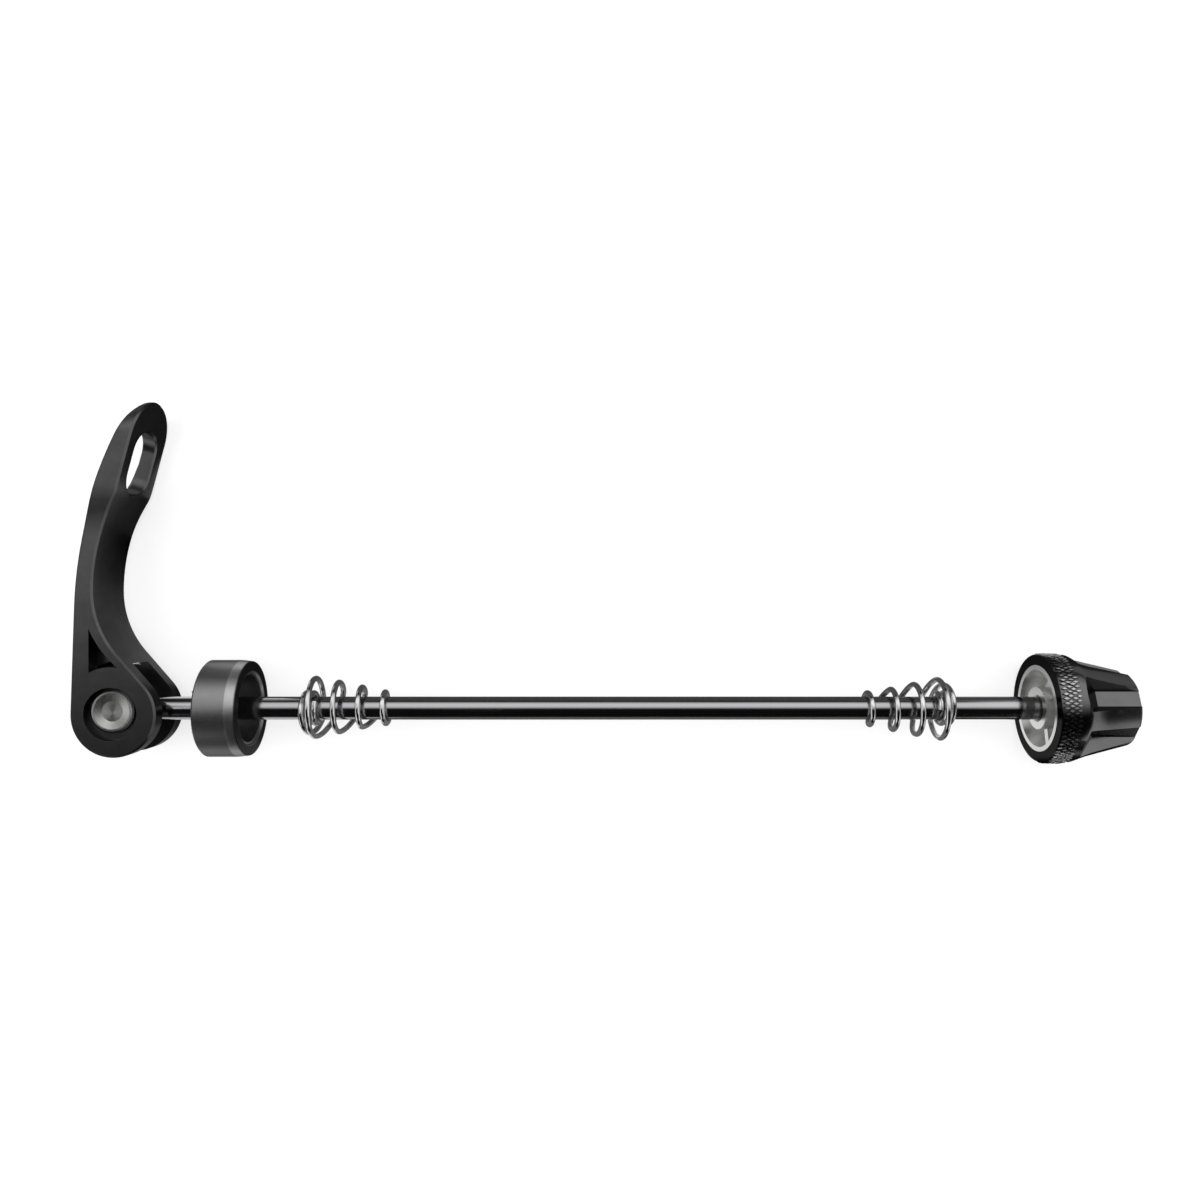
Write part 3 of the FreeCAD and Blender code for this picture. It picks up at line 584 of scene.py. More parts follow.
def run_tree(carrier, tree, values):
    """Mesh that a node tree makes of an object, with inputs set by their identifiers."""
    modifier = carrier.modifiers.new(tree.name, "NODES")
    modifier.node_group = tree
    for item in tree.interface.items_tree:
        if item.in_out == "INPUT" and item.name in values:
            modifier[item.identifier] = values[item.name]
    bpy.context.view_layer.update()
    mesh = plain_mesh(carrier)
    data = carrier.data
    bpy.data.objects.remove(carrier)
    if isinstance(data, bpy.types.Curve):
        bpy.data.curves.remove(data)
    return mesh


def finish_tree(tree, geometry, given, end, shade_smooth):
    """Close a tree with Set Shade Smooth, Realize Instances and Set Material."""
    smooth = add_node(tree, "GeometryNodeSetShadeSmooth", {"Shade Smooth": shade_smooth})
    realize = add_node(tree, "GeometryNodeRealizeInstances")
    paint = add_node(tree, "GeometryNodeSetMaterial")
    tree.links.new(given["Material"], paint.inputs["Material"])
    for node in (smooth, realize, paint, end):
        tree.links.new(geometry, node.inputs["Geometry"])
        if node != end:
            geometry = node.outputs["Geometry"]


def wire_tree():
    """Round wire along a path, with closed ends."""
    inputs = {"Wire Diameter": "Float", "Section Sides": "Int", "Material": "Material"}
    tree, given, end = new_tree("spring wire", inputs)
    section = add_node(tree, "GeometryNodeCurvePrimitiveCircle")
    radius = math_node(tree, "MULTIPLY", given["Wire Diameter"], 0.5)
    tree.links.new(radius, section.inputs["Radius"])
    tree.links.new(given["Section Sides"], section.inputs["Resolution"])
    sweep = add_node(tree, "GeometryNodeCurveToMesh", {"Fill Caps": True})
    tree.links.new(given["Geometry"], sweep.inputs["Curve"])
    tree.links.new(section.outputs["Curve"], sweep.inputs["Profile Curve"])
    finish_tree(tree, sweep.outputs["Mesh"], given, end, True)
    return tree


def random_vector(tree, low, high, seed):
    """Random vector for each point."""
    node = add_node(tree, "FunctionNodeRandomValue", data_type="FLOAT_VECTOR")
    node.inputs["Min"].default_value = low
    node.inputs["Max"].default_value = high
    tree.links.new(seed, node.inputs["Seed"])
    return node.outputs["Value"]


def knurl_tree():
    """Rows of staggered four-sided points round a rim, a little uneven."""
    inputs = {
        "Count": "Int",
        "Rows": "Int",
        "Rim Radius": "Float",
        "Start": "Float",
        "Spacing": "Float",
        "Height": "Float",
        "Seed": "Int",
        "Material": "Material",
    }
    tree, given, end = new_tree("rim knurl", inputs)

    def calculated(operation, first, second=None):
        return math_node(tree, operation, first, second)

    count, radius, spacing = given["Count"], given["Rim Radius"], given["Spacing"]
    index = add_node(tree, "GeometryNodeInputIndex").outputs["Index"]
    row = calculated("FLOOR", calculated("DIVIDE", index, count))
    least, most = (-STRAY_ALONG, -STRAY_ROUND, 0.0), (STRAY_ALONG, STRAY_ROUND, 0.0)
    other_seed = calculated("ADD", given["Seed"], 1.0)
    stray = vector_parts(tree, random_vector(tree, least, most, other_seed))

    place = calculated("ADD", calculated("MODULO", index, count), stray["Y"])
    shift = calculated("MULTIPLY", calculated("MODULO", row, 2.0), 0.5)
    turn = calculated("DIVIDE", calculated("ADD", place, shift), count)
    angle = calculated("MULTIPLY", turn, 2 * math.pi)
    outward_y, outward_z = calculated("SINE", angle), calculated("COSINE", angle)
    strayed = calculated("ADD", row, stray["X"])
    station = calculated("ADD", given["Start"], calculated("MULTIPLY", strayed, spacing))
    position = vector_of(tree, X=station, Y=calculated("MULTIPLY", outward_y, radius),
                         Z=calculated("MULTIPLY", outward_z, radius))
    points = add_node(tree, "GeometryNodePoints")
    tree.links.new(calculated("MULTIPLY", count, given["Rows"]), points.inputs["Count"])
    tree.links.new(position, points.inputs["Position"])

    outward = vector_of(tree, Y=outward_y, Z=outward_z)
    along = add_node(tree, "ShaderNodeCombineXYZ", {"X": 1.0}).outputs["Vector"]
    facing = add_node(tree, "FunctionNodeAxesToRotation", primary_axis="Z", secondary_axis="X")
    tree.links.new(outward, facing.inputs["Primary Axis"])
    tree.links.new(along, facing.inputs["Secondary Axis"])

    stud = add_node(tree, "GeometryNodeMeshCone", {"Vertices": KNURL_CORNERS})
    tree.links.new(calculated("MULTIPLY", spacing, KNURL_TIP), stud.inputs["Radius Top"])
    tree.links.new(calculated("MULTIPLY", spacing, KNURL_FOOT), stud.inputs["Radius Bottom"])
    tree.links.new(given["Height"], stud.inputs["Depth"])
    scale = random_vector(tree, KNURL_LEAST, KNURL_MOST, given["Seed"])
    studs = add_node(tree, "GeometryNodeInstanceOnPoints")
    tree.links.new(points.outputs["Points"], studs.inputs["Points"])
    tree.links.new(stud.outputs["Mesh"], studs.inputs["Instance"])
    tree.links.new(facing.outputs["Rotation"], studs.inputs["Rotation"])
    tree.links.new(scale, studs.inputs["Scale"])
    finish_tree(tree, studs.outputs["Instances"], given, end, False)
    return tree


# Rod and barrel

ROD_SIDES, PLAIN_RINGS, RINGS_PER_PITCH = 48, 24, 10
THREAD_RUNOUT, THREAD_SLOPE = 1.5, 1.15


def thread_radius(station, end, look, radius):
    """Radius of the rod at a station, as a function of the angle."""
    start = end - look.thread_length

    def at(angle):
        if station <= start:
            return radius
        phase = (station - end) / look.thread_pitch - angle / (2 * math.pi)
        wave = abs((phase % 1.0) * 2 - 1)
        fade = min((station - start) / (look.thread_pitch * THREAD_RUNOUT), 1.0)
        bevel = max(0.0, station - (end - look.end_bevel))
        groove = look.thread_depth * fade * min(wave * THREAD_SLOPE, 1.0)
        return min(radius - groove, radius - bevel)

    return at


class SKEWER_OT_rod(bpy.types.Operator):
    """Make the polished rod with its end thread, and finish the turned barrel"""

    bl_idname = "skewer.rod"
    bl_label = "Rod and barrel"

    def execute(self, context):
        look = context.scene.skewer_rod_look
        low, high = ROD_LOW.x, ROD_HIGH.x
        radius = (ROD_HIGH.y - ROD_LOW.y + ROD_HIGH.z - ROD_LOW.z) / 4
        plain_start = low + look.end_bevel
        plain_end = high - look.thread_length
        plain = plain_end - low - look.end_bevel
        fine = look.thread_pitch / RINGS_PER_PITCH
        fine_rings = int(look.thread_length / fine)
        stations = [plain_start]
        stations += [plain_start + plain * step / PLAIN_RINGS for step in range(1, PLAIN_RINGS + 1)]
        stations += [plain_end + fine * step for step in range(1, fine_rings + 1)]
        rings = [(low, lambda angle: radius - look.end_bevel)]
        rings += [(station, thread_radius(station, high, look, radius)) for station in stations]
        mesh = turned_about_x("polished_rod", rings, ROD_SIDES)
        steel = metal("polished rod steel", look.steel, rough=(0.10, 0.17), grain=2600.0,
                      stretch=(0.02, 1.0, 1.0), bump=0.03)
        tree = steel.node_tree
        # Painted shade: over the last stretch before the nut the steel blends into the darker rod
        # end colour, in place of the nut's dark reflection
        station, _ = place_on_rod(tree)
        darkened = share_past(tree, station, high - look.end_length, softness=0.0008)
        blend_colour(tree, darkened, look.end)
        add_piece("polished_rod", mesh, steel, "skewer", "skewer_rod")
        turned = turned_metal("turned barrel steel", look.barrel, rough=(0.27, 0.30),
                              centre=PIVOT, turn=(TILT, 0.0, 0.0), ring_scale=1500.0)
        barrel = merged_copy("pivot_barrel", "turned_barrel")
        smooth_by_angle(barrel, BARREL_ANGLE)
        add_piece("turned_barrel", barrel, turned, "skewer", "pivot_barrel")
        return {"FINISHED"}


# Lever and cup

# Depth of the painted shade on the cup's clamping face
FACE_DEPTH = 0.0002


class SKEWER_OT_lever(bpy.types.Operator):
    """Finish the anodised cam lever"""

    bl_idname = "skewer.lever"
    bl_label = "Cam lever"

    def execute(self, context):
        look = context.scene.skewer_lever_look
        mesh = rounded_copy("cam_lever", "anodised_lever", look.edge_round)
        skin = metal("lever anodising", look.lever, rough=(0.28, 0.34), grain=5200.0,
                     bump=0.02, shades=(0.92, 1.08), edge=0.36)
        add_piece("anodised_lever", mesh, skin, "lever", "cam_lever")
        return {"FINISHED"}


class SKEWER_OT_cup(bpy.types.Operator):
    """Finish the clamping cup and its cam seat"""

    bl_idname = "skewer.cup"
    bl_label = "Cup and seat"

    def execute(self, context):
        look = context.scene.skewer_lever_look
        skin = metal("cup anodising", look.cup, rough=(0.33, 0.40), grain=4200.0,
                     stretch=(0.25, 1.0, 1.0), bump=0.02, edge=0.30)
        tree = skin.node_tree
        station, radius = place_on_rod(tree)
        front = CUP_HIGH.x
        past_bevel_highlight = share_past(tree, station, front - look.bevel_highlight_start, softness=0.00012)
        on_skin = share_past(tree, radius, look.bevel_highlight_radius, softness=0.00003)
        past_hollow = share_past(tree, radius, look.hollow_radius, softness=0.00005)
        on_shaded_face = share_past(tree, station, front - FACE_DEPTH, softness=0.00004)
        in_hollow = math_node(tree, "SUBTRACT", 1.0, past_hollow)
        in_front = share_past(tree, station, front - look.hollow_depth, softness=0.0001)
        # Painted highlight on the bevel and painted shade on the clamping face; the hollow is
        # bright turned metal
        turned = [
            (past_bevel_highlight, on_skin, look.bevel),
            (past_hollow, on_shaded_face, look.face),
            (in_hollow, in_front, look.hollow),
        ]
        for first, second, colour in turned:
            blend_colour(tree, math_node(tree, "MULTIPLY", first, second), colour)
        cup = rounded_copy("cam_cup", "anodised_cup", look.edge_round)
        add_piece("anodised_cup", cup, skin, "cup", "cam_cup")
        moulded = nylon("seat nylon", look.seat, rough=(0.42, 0.58))
        seat = rounded_copy("cam_seat", "nylon_cam_seat", look.edge_round)
        add_piece("nylon_cam_seat", seat, moulded, "cup", "cam_seat")
        return {"FINISHED"}


# Springs

STEPS_PER_TURN = 40
GRIP_TURNS, CONE_TURNS, HALF_TURN = 2.0, 3.0, 0.5
CLIMB_ARC, LEVEL_RISE = 0.45, 0.12


def level(share):
    """Even rise along a stretch of the wire."""
    return share


def late(share):
    """Rise that comes late in a stretch of the wire."""
    return share * share


def climb(share):
    """Rise of the cone, which each of its turns makes mostly on its far side."""
    turn = math.floor(share * CONE_TURNS)
    part = share * CONE_TURNS - turn
    ramp = min(max((part - 0.5) / CLIMB_ARC + 0.5, 0.0), 1.0)
    eased = ramp * ramp * (3 - 2 * ramp)
    return (turn + LEVEL_RISE * part + (1 - LEVEL_RISE) * eased) / CONE_TURNS


def spring_stretches(look):
    """Turns, radii, stations and rise of the wire's stretches, from grip coil to end coil."""
    grip, coil, reach, cone = look.grip, look.coil, look.reach, look.cone
    return [
        (GRIP_TURNS, grip, grip, look.pitch * GRIP_TURNS - reach, -reach, level),
        (HALF_TURN, grip, coil, -reach, -look.rise, late),
        (HALF_TURN, coil, coil, -look.rise, 0.0, level),
        (CONE_TURNS, coil, grip, 0.0, cone, climb),
        (HALF_TURN, grip, grip, cone, cone + look.end, level),
    ]


def spring_path(look):
    """Points along the middle of the wire, with the large coil at the origin."""
    points = []
    turned = 0.0
    for turns, start_radius, end_radius, start_x, end_x, rise in spring_stretches(look):
        steps = round(turns * STEPS_PER_TURN)
        for step in range(1 if points else 0, steps + 1):
            share = step / steps
            angle = 2 * math.pi * (turned + share * turns)
            radius = start_radius + (end_radius - start_radius) * share
            station = start_x + (end_x - start_x) * rise(share)
            points.append(Vector((station, -radius * math.sin(angle), radius * math.cos(angle))))
        turned += turns
    return points


def wire_curve(name, points):
    """Curve object that runs through the points."""
    curve = bpy.data.curves.new(name, "CURVE")
    curve.dimensions = "3D"
    spline = curve.splines.new("POLY")
    spline.points.add(len(points) - 1)
    for target, point in zip(spline.points, points):
        target.co = (*point, 1.0)
    return new_object(name, curve)


class SKEWER_OT_springs(bpy.types.Operator):
    """Wind the conical springs from round wire"""

    bl_idname = "skewer.springs"
    bl_label = "Springs"

    def execute(self, context):
        look = context.scene.skewer_spring_look
        tree = wire_tree()
        steel = metal("drawn spring wire", look.steel, rough=(0.10, 0.18), grain=3200.0)
        path = spring_path(look)
        lever_way = ROLLED @ Matrix.Rotation(-look.lever_turn, 4, "X")
        nut_way = ROLLED @ Matrix.Rotation(math.pi, 4, "Z")
        windings = [
            ("lever_side_winding", "lever_side_spring", "spring_lever_side",
             look.lever_station, lever_way),
            ("nut_side_winding", "nut_side_spring", "spring_nut_side",
             look.nut_station, nut_way),
        ]
        values = {"Wire Diameter": look.wire, "Section Sides": look.sides, "Material": steel}
        for name, body, node, station, way in windings:
            points = [way @ point + Vector((station, 0.0, 0.0)) for point in path]
            mesh = run_tree(wire_curve(name, points), tree, values)
            mesh.name = name
            add_piece(name, mesh, steel, body, node)
        return {"FINISHED"}


# Nut

# Start and softness of the painted highlight on the knurl's tips, in shares of their height; depth
# of the painted shade on the nut's clamping face
GLINT_FROM, GLINT_SOFTNESS = 0.6, 0.25
NUT_FACE_DEPTH = 0.0001


def pressed_in(mesh, limit):
    """Press the points of a mesh that stand past a radius about the rod down to it."""
    for vertex in mesh.vertices:
        radius = math.hypot(vertex.co.y, vertex.co.z)
        if radius > limit:
            vertex.co.y *= limit / radius
            vertex.co.z *= limit / radius


class SKEWER_OT_nut(bpy.types.Operator):
    """Finish the fluted nut, knurl its rim and finish its core and lock ring"""

    bl_idname = "skewer.nut"
    bl_label = "Nut"

    def execute(self, context):
        look = context.scene.skewer_nut_look
        root = (RIM_HIGH.z - RIM_LOW.z) / 2 - look.height
        gloss = metal("nut gloss black", look.shell, rough=(0.15, 0.20), grain=3000.0,
                      bump=0.02, edge=0.42)
        tree = gloss.node_tree
        station, height = place_on_rod(tree)
        # Painted highlight: the knurl's tips blend into the lighter glinting colour; painted shade:
        # the clamping face blends into the darker nut face colour
        on_glinting_tips = share_past(tree, height, root + look.height * GLINT_FROM,
                             softness=look.height * GLINT_SOFTNESS)
        blend_colour(tree, on_glinting_tips, look.glinting)
        behind_shaded_face = share_past(tree, station, RIM_LOW.x + NUT_FACE_DEPTH, softness=0.00005)
        blend_colour(tree, math_node(tree, "SUBTRACT", 1.0, behind_shaded_face), look.face)
        shell = merged_copy("nut_shell", "fluted_nut")
        smooth_by_angle(shell, SHELL_ANGLE)
        pressed_in(shell, root)
        add_piece("fluted_nut", shell, gloss, "nut", "nut_shell")

        values = {
            "Count": look.count,
            "Rows": look.rows,
            "Rim Radius": root,
            "Start": RIM_LOW.x + look.start,
            "Spacing": look.spacing,
            "Height": look.height,
            "Seed": look.seed,
            "Material": gloss,
        }
        carrier = new_object("rim_knurl", bpy.data.meshes.new("rim_knurl"))
        knurl = run_tree(carrier, knurl_tree(), values)
        knurl.name = "rim_knurl"
        add_piece("rim_knurl", knurl, gloss, "nut")

        bare = metal("bare core metal", look.core, rough=(0.34, 0.37), grain=900.0,
                     bump=0.01, shades=(0.95, 1.05))
        core = rounded_copy("nut_core", "ribbed_core", look.core_round)
        add_piece("ribbed_core", core, bare, "nut", "nut_core")
        moulded = nylon("lock ring nylon", look.lock, rough=(0.40, 0.55))
        ring = rounded_copy("lock_ring", "nylon_lock_ring", look.lock_round)
        add_piece("nylon_lock_ring", ring, moulded, "nut_carrier", "lock_ring")
        return {"FINISHED"}


# Stage: the lamps light the floor and the nylon, and the metals show cards that are seen in
# reflections alone

FLOOR_REACH, FLOOR_ROUGHNESS = 4.0, 0.9
NEAR_FLOOR, FAR_FLOOR, NEAR_GLOW, FAR_GLOW = 0.25, 0.7, 0.72, 1.0
SEEN_WHITE, ROOM_LIGHT = 1.0, 0.55
WALL_RADIUS, WALL_GLOW = 3.0, 0.008
WALL_SEGMENTS, WALL_RINGS = 48, 24
SENSOR_WIDTH, NEAREST, FARTHEST = 36.0, 0.01, 20.0

# Name, centre, target, size and power
LAMPS = [
    ("overhead softbox", (0.0, 0.25, 0.8), (0.0, 0.0, 0.0), (1.2, 0.6), 9.0),
    ("side softbox", (-0.7, -0.1, 0.5), (-0.08, 0.0, 0.0), (0.5, 0.5), 3.0),
]

# Name, reach along the rod, strength, and stops of an angle and a share of the strength
SOFTBOX_RADIUS, SOFTBOX_STEPS = 0.6, 24
SOFTBOXES = [
    ("upper softbox", (-0.36, 0.31), 1.35,
     [(-4.0, 0.0), (4.0, 0.2), (12.0, 0.6), (22.0, 0.95),
      (30.0, 1.0), (50.0, 1.0), (62.0, 0.5), (74.0, 0.05)]),
    ("right softbox", (0.31, 0.75), 1.5,
     [(-9.0, 0.0), (4.0, 0.25), (16.0, 0.75), (30.0, 1.0), (60.0, 1.0), (78.0, 0.55)]),
    ("upper left softbox", (-0.8, -0.36), 1.35,
     [(24.0, 0.0), (36.0, 1.0), (50.0, 1.0), (74.0, 0.05)]),
    ("left softbox", (-0.66, -0.36), 1.5,
     [(-4.0, 0.0), (0.0, 0.6), (5.0, 1.0), (11.0, 0.8), (18.0, 0.3), (24.0, 0.0)]),
]

# Upright card across the rod, which lights the edges of the cup and the lever
EDGE_LIGHT = [(-0.03, -0.02, 0.025), (-0.03, -0.02, 0.075),
              (-0.03, 0.10, 0.075), (-0.03, 0.10, 0.025)]
EDGE_STRENGTH = 1.1

# Name, way along the rod, and stops of a height and a share of the strength
PANEL_RADIUS, PANEL_STRENGTH = 1.2, 1.3
PANEL_HALF_ANGLE, PANEL_STEP = 55.0, 5.0
END_PANELS = [
    ("lever end panel", -1.0, [(0.06, 0.0), (0.14, 1.0), (0.60, 1.0), (0.80, 0.0)]),
    ("nut end panel", 1.0, [(0.06, 0.0), (0.14, 1.0), (0.48, 1.0), (0.64, 0.0)]),
]

# Name, two corners, lift over the floor, strength, and stops of a Y and a share of the strength
SHADE_LIFT, BOUNCE_LIFT, END_LIFT = 0.0001, 0.0002, 0.0003
NECK_STOPS = [(0.004, 1.0), (0.014, 1.0), (0.019, 0.55), (0.023, 0.28), (0.028, 0.08), (0.034, 0.0)]
CORE_STOPS = [(-0.014, 1.0), (-0.004, 0.9), (0.003, 0.5), (0.008, 0.3), (0.012, 0.3)]
FLOOR_CARDS = [
    ("lever end floor", (-0.6, -0.3), (-0.126, 0.3), END_LIFT, 0.6, None),
    ("nut end floor", (0.118, -0.3), (0.6, 0.3), END_LIFT, 0.6, None),
    ("far floor shade", (-2.0, 0.0), (2.0, 2.0), SHADE_LIFT, 0.11, None),
    ("near floor shade", (-2.0, -2.0), (2.0, 0.0), SHADE_LIFT, 0.20, None),
    ("neck bounce", (-0.120, 0.004), (-0.1035, 0.036), BOUNCE_LIFT, 1.2, NECK_STOPS),
    ("far cup bounce", (-0.1035, 0.018), (-0.085, 0.045), BOUNCE_LIFT, 1.1, None),
    ("head bounce", (-0.135, 0.045), (-0.108, 0.100), BOUNCE_LIFT, 0.7, None),
    ("near cup bounce", (-0.150, -0.100), (-0.070, -0.010), BOUNCE_LIFT, 0.9, None),
    ("core bounce", (0.060, -0.014), (0.0853, 0.012), BOUNCE_LIFT, 1.0, CORE_STOPS),
    ("knurl floor shade", (0.074, -0.120), (0.118, -0.014), BOUNCE_LIFT, 0.04, None),
]


def emission_material(name, strength, axis=None, stops=None):
    """Glow of a face's front; stops of a coordinate and a share may change it along an axis."""
    material = bpy.data.materials.new(name)
    material.use_nodes = True
    tree = material.node_tree
    tree.nodes.clear()
    glow = add_node(tree, "ShaderNodeEmission", {"Strength": strength})
    if stops:
        low, high = stops[0][0], stops[-1][0]
        along = vector_parts(tree, mapped(tree))[axis]
        ramp = add_node(tree, "ShaderNodeValToRGB")
        marks = ramp.color_ramp.elements
        while len(marks) < len(stops):
            marks.new(0.5)
        for mark, (spot, part) in zip(marks, stops):
            mark.position = (spot - low) / (high - low)
            mark.color = (part, part, part, 1.0)
        share = map_range(tree, along, {"From Min": low, "From Max": high})
        tree.links.new(share, ramp.inputs["Fac"])
        tree.links.new(ramp.outputs["Color"], glow.inputs["Color"])
    behind = add_node(tree, "ShaderNodeNewGeometry").outputs["Backfacing"]
    clear = add_node(tree, "ShaderNodeBsdfTransparent")
    front = mix_shaders(tree, behind, glow.outputs["Emission"], clear.outputs["BSDF"])
    output = add_node(tree, "ShaderNodeOutputMaterial")
    tree.links.new(front, output.inputs["Surface"])
    return material


def add_reflector(name, builder, material):
    """Stage piece that shows in reflections alone."""
    mesh = built_mesh(name, builder)
    mesh.materials.append(material)
    piece = new_object(name, mesh)
    piece.visible_camera = False
    piece.visible_diffuse = False
    piece.visible_shadow = False
    piece.visible_volume_scatter = False


def add_card(name, corners, strength, stops=None):
    """Flat card with its glow, which may change along Y."""
    builder = bmesh.new()
    builder.faces.new([builder.verts.new(corner) for corner in corners])
    add_reflector(name, builder, emission_material(name, strength, "Y", stops))


def level_corners(low, high, height):
    """Corners of a level rectangle."""
    spots = [(low[0], low[1]), (high[0], low[1]), (high[0], high[1]), (low[0], high[1])]
    return [(*spot, height) for spot in spots]


def round_the_rod(angle, station=0.0):
    """Point of the softboxes at an angle off the camera's side, towards the lever's tip."""
    turn = math.radians(angle)
    outward = LEVER_WAY * math.sin(turn) + SIDE_UP * math.cos(turn)
    return outward * SOFTBOX_RADIUS + Vector((station, 0.0, 0.0))


def add_softbox(name, reach, strength, stops):
    """Curved light panel about the rod along a reach."""
    builder = bmesh.new()
    rows = []
    low, high = stops[0][0], stops[-1][0]
    for step in range(SOFTBOX_STEPS + 1):
        angle = low + (high - low) * step / SOFTBOX_STEPS
        rows.append([builder.verts.new(round_the_rod(angle, station)) for station in reach])
    for first, second in zip(rows, rows[1:]):
        builder.faces.new((first[0], second[0], second[1], first[1]))
    spots = [(round_the_rod(angle).y, part) for angle, part in stops]
    add_reflector(name, builder, emission_material(name, strength, "Y", spots))


def add_end_panel(name, way, stops):
    """Curved light panel beyond one end of the rod."""
    builder = bmesh.new()
    rows = []
    heights = (stops[0][0], stops[-1][0])
    for step in range(round(2 * PANEL_HALF_ANGLE / PANEL_STEP) + 1):
        turn = math.radians(PANEL_STEP * step - PANEL_HALF_ANGLE)
        spot = (way * PANEL_RADIUS * math.cos(turn), way * PANEL_RADIUS * math.sin(turn))
        rows.append([builder.verts.new((*spot, height)) for height in heights])
    for first, second in zip(rows, rows[1:]):
        builder.faces.new((first[0], first[1], second[1], second[0]))
    add_reflector(name, builder, emission_material(name, PANEL_STRENGTH, "Z", stops))


def add_wall(name):
    """Dark studio wall round the scene."""
    builder = bmesh.new()
    bmesh.ops.create_uvsphere(builder, u_segments=WALL_SEGMENTS, v_segments=WALL_RINGS,
                              radius=WALL_RADIUS)
    bmesh.ops.reverse_faces(builder, faces=builder.faces)
    add_reflector(name, builder, emission_material(name, WALL_GLOW))


def add_lamp(name, centre, target, size, power):
    """Area lamp that lights the scene and shows in no reflection."""
    light = bpy.data.lights.new(name, "AREA")
    light.shape = "RECTANGLE"
    light.size, light.size_y = size
    light.energy = power
    lamp = new_object(name, light)
    lamp.location = centre
    lamp.rotation_mode = "QUATERNION"
    lamp.rotation_quaternion = (Vector(target) - Vector(centre)).to_track_quat("-Z", "Y")
    lamp.visible_glossy = False


def white_for_seen_rays(tree, white, plain):
    """The first shader for camera, glossy and transmission rays, the second for the rest."""
    path = add_node(tree, "ShaderNodeLightPath").outputs
    seen = math_node(tree, "MAXIMUM", path["Is Camera Ray"], path["Is Glossy Ray"])
    seen = math_node(tree, "MAXIMUM", seen, path["Is Transmission Ray"])
    return mix_shaders(tree, seen, plain, white)


def floor_material(look):
    """White floor that glows to the camera, more so far away, and keeps the shadow."""
    material, tree, shader = new_material("white floor")
    shader.inputs["Base Color"].default_value = (*look.floor, 1.0)
    shader.inputs["Roughness"].default_value = FLOOR_ROUGHNESS
    matt = shader.outputs["BSDF"]
    glow = add_node(tree, "ShaderNodeEmission", {"Strength": SEEN_WHITE})
    values = {"From Min": NEAR_FLOOR, "From Max": FAR_FLOOR,
              "To Min": NEAR_GLOW, "To Max": FAR_GLOW}
    share = map_range(tree, vector_length(tree, mapped(tree)), values)
    white = mix_shaders(tree, share, matt, glow.outputs["Emission"])
    surface = white_for_seen_rays(tree, white, matt)
    tree.links.new(surface, tree.nodes["Material Output"].inputs["Surface"])
    return material


def lay_floor(look):
    """Level floor under the part."""
    builder = bmesh.new()
    corners = level_corners((-FLOOR_REACH, -FLOOR_REACH), (FLOOR_REACH, FLOOR_REACH), FLOOR_HEIGHT)
    builder.faces.new([builder.verts.new(corner) for corner in corners])
    mesh = built_mesh("floor", builder)
    mesh.materials.append(floor_material(look))
    new_object("floor", mesh)


def light_room(scene):
    """White world for the camera and a plain level of light for the rest."""
    world = scene.world or bpy.data.worlds.new("studio")
    scene.world = world
    world.use_nodes = True
    tree = world.node_tree
    tree.nodes.clear()
    values = {"Color": (1.0, 1.0, 1.0, 1.0)}
    white = add_node(tree, "ShaderNodeBackground", {**values, "Strength": SEEN_WHITE})
    plain = add_node(tree, "ShaderNodeBackground", {**values, "Strength": ROOM_LIGHT})
    surface = white_for_seen_rays(tree, white.outputs[0], plain.outputs[0])
    output = add_node(tree, "ShaderNodeOutputWorld")
    tree.links.new(surface, output.inputs["Surface"])


def place_camera(scene, look):
    """Camera straight over the lever's flat side."""
    lens = bpy.data.cameras.new("camera")
    lens.lens = look.lens
    lens.sensor_width = SENSOR_WIDTH
    lens.clip_start = NEAREST
    lens.clip_end = FARTHEST
    camera = new_object("camera", lens)
    spot = Vector((look.along, 0.0, 0.0)) + LEVER_WAY * look.across + SIDE_UP * look.distance
    camera.matrix_world = Matrix.Translation(spot) @ ROLLED
    scene.camera = camera


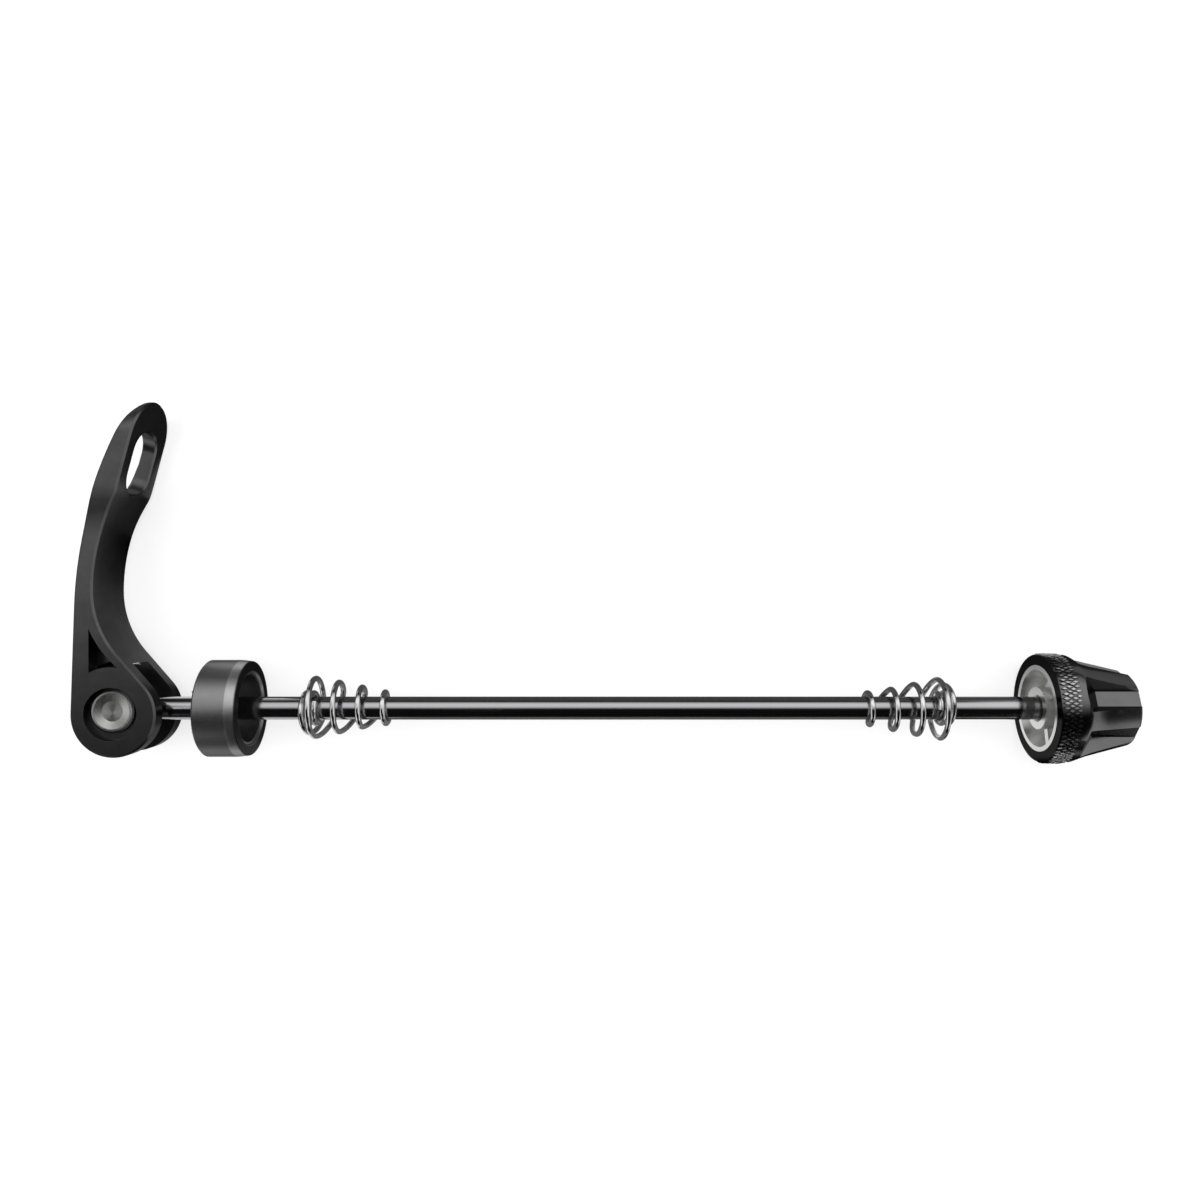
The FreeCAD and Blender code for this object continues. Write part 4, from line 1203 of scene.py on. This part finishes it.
class SKEWER_OT_studio(bpy.types.Operator):
    """Lay the floor, set the lamps, the world and the camera"""

    bl_idname = "skewer.studio"
    bl_label = "Studio"

    def execute(self, context):
        scene = context.scene
        look = scene.skewer_studio_look
        scene.view_settings.view_transform = "Standard"
        lay_floor(look)
        light_room(scene)
        for lamp in LAMPS:
            add_lamp(*lamp)
        add_wall("studio wall")
        for softbox in SOFTBOXES:
            add_softbox(*softbox)
        add_card("edge light", EDGE_LIGHT, EDGE_STRENGTH)
        for panel in END_PANELS:
            add_end_panel(*panel)
        for name, low, high, lift, strength, stops in FLOOR_CARDS:
            add_card(name, level_corners(low, high, FLOOR_HEIGHT + lift), strength, stops)
        place_camera(scene, look)
        return {"FINISHED"}


STEPS = [SKEWER_OT_rod, SKEWER_OT_lever, SKEWER_OT_cup, SKEWER_OT_springs, SKEWER_OT_nut,
         SKEWER_OT_studio]


class SKEWER_PT_finish(bpy.types.Panel):
    """Steps of the skewer's finish."""

    bl_idname = "SKEWER_PT_finish"
    bl_label = "Skewer finish"
    bl_space_type = "VIEW_3D"
    bl_region_type = "UI"
    bl_category = "Skewer"

    def draw(self, context):
        column = self.layout.column()
        for step in STEPS:
            column.operator(step.bl_idname)
        for name, look in LOOKS.items():
            box = self.layout.box()
            box.label(text=look.__doc__.rstrip("."))
            for key in look.__annotations__:
                box.prop(getattr(context.scene, name), key)


CLASSES = [*LOOKS.values(), *STEPS, SKEWER_PT_finish]


def register():
    for item in CLASSES:
        bpy.utils.register_class(item)
    for name, look in LOOKS.items():
        setattr(bpy.types.Scene, name, PointerProperty(type=look))


def unregister():
    for name in LOOKS:
        delattr(bpy.types.Scene, name)
    for item in reversed(CLASSES):
        bpy.utils.unregister_class(item)


def main():
    register()
    bpy.ops.skewer.rod()
    bpy.ops.skewer.lever()
    bpy.ops.skewer.cup()
    bpy.ops.skewer.springs()
    bpy.ops.skewer.nut()
    bpy.ops.skewer.studio()
    bpy.context.view_layer.update()


if __name__ == "__main__":
    main()
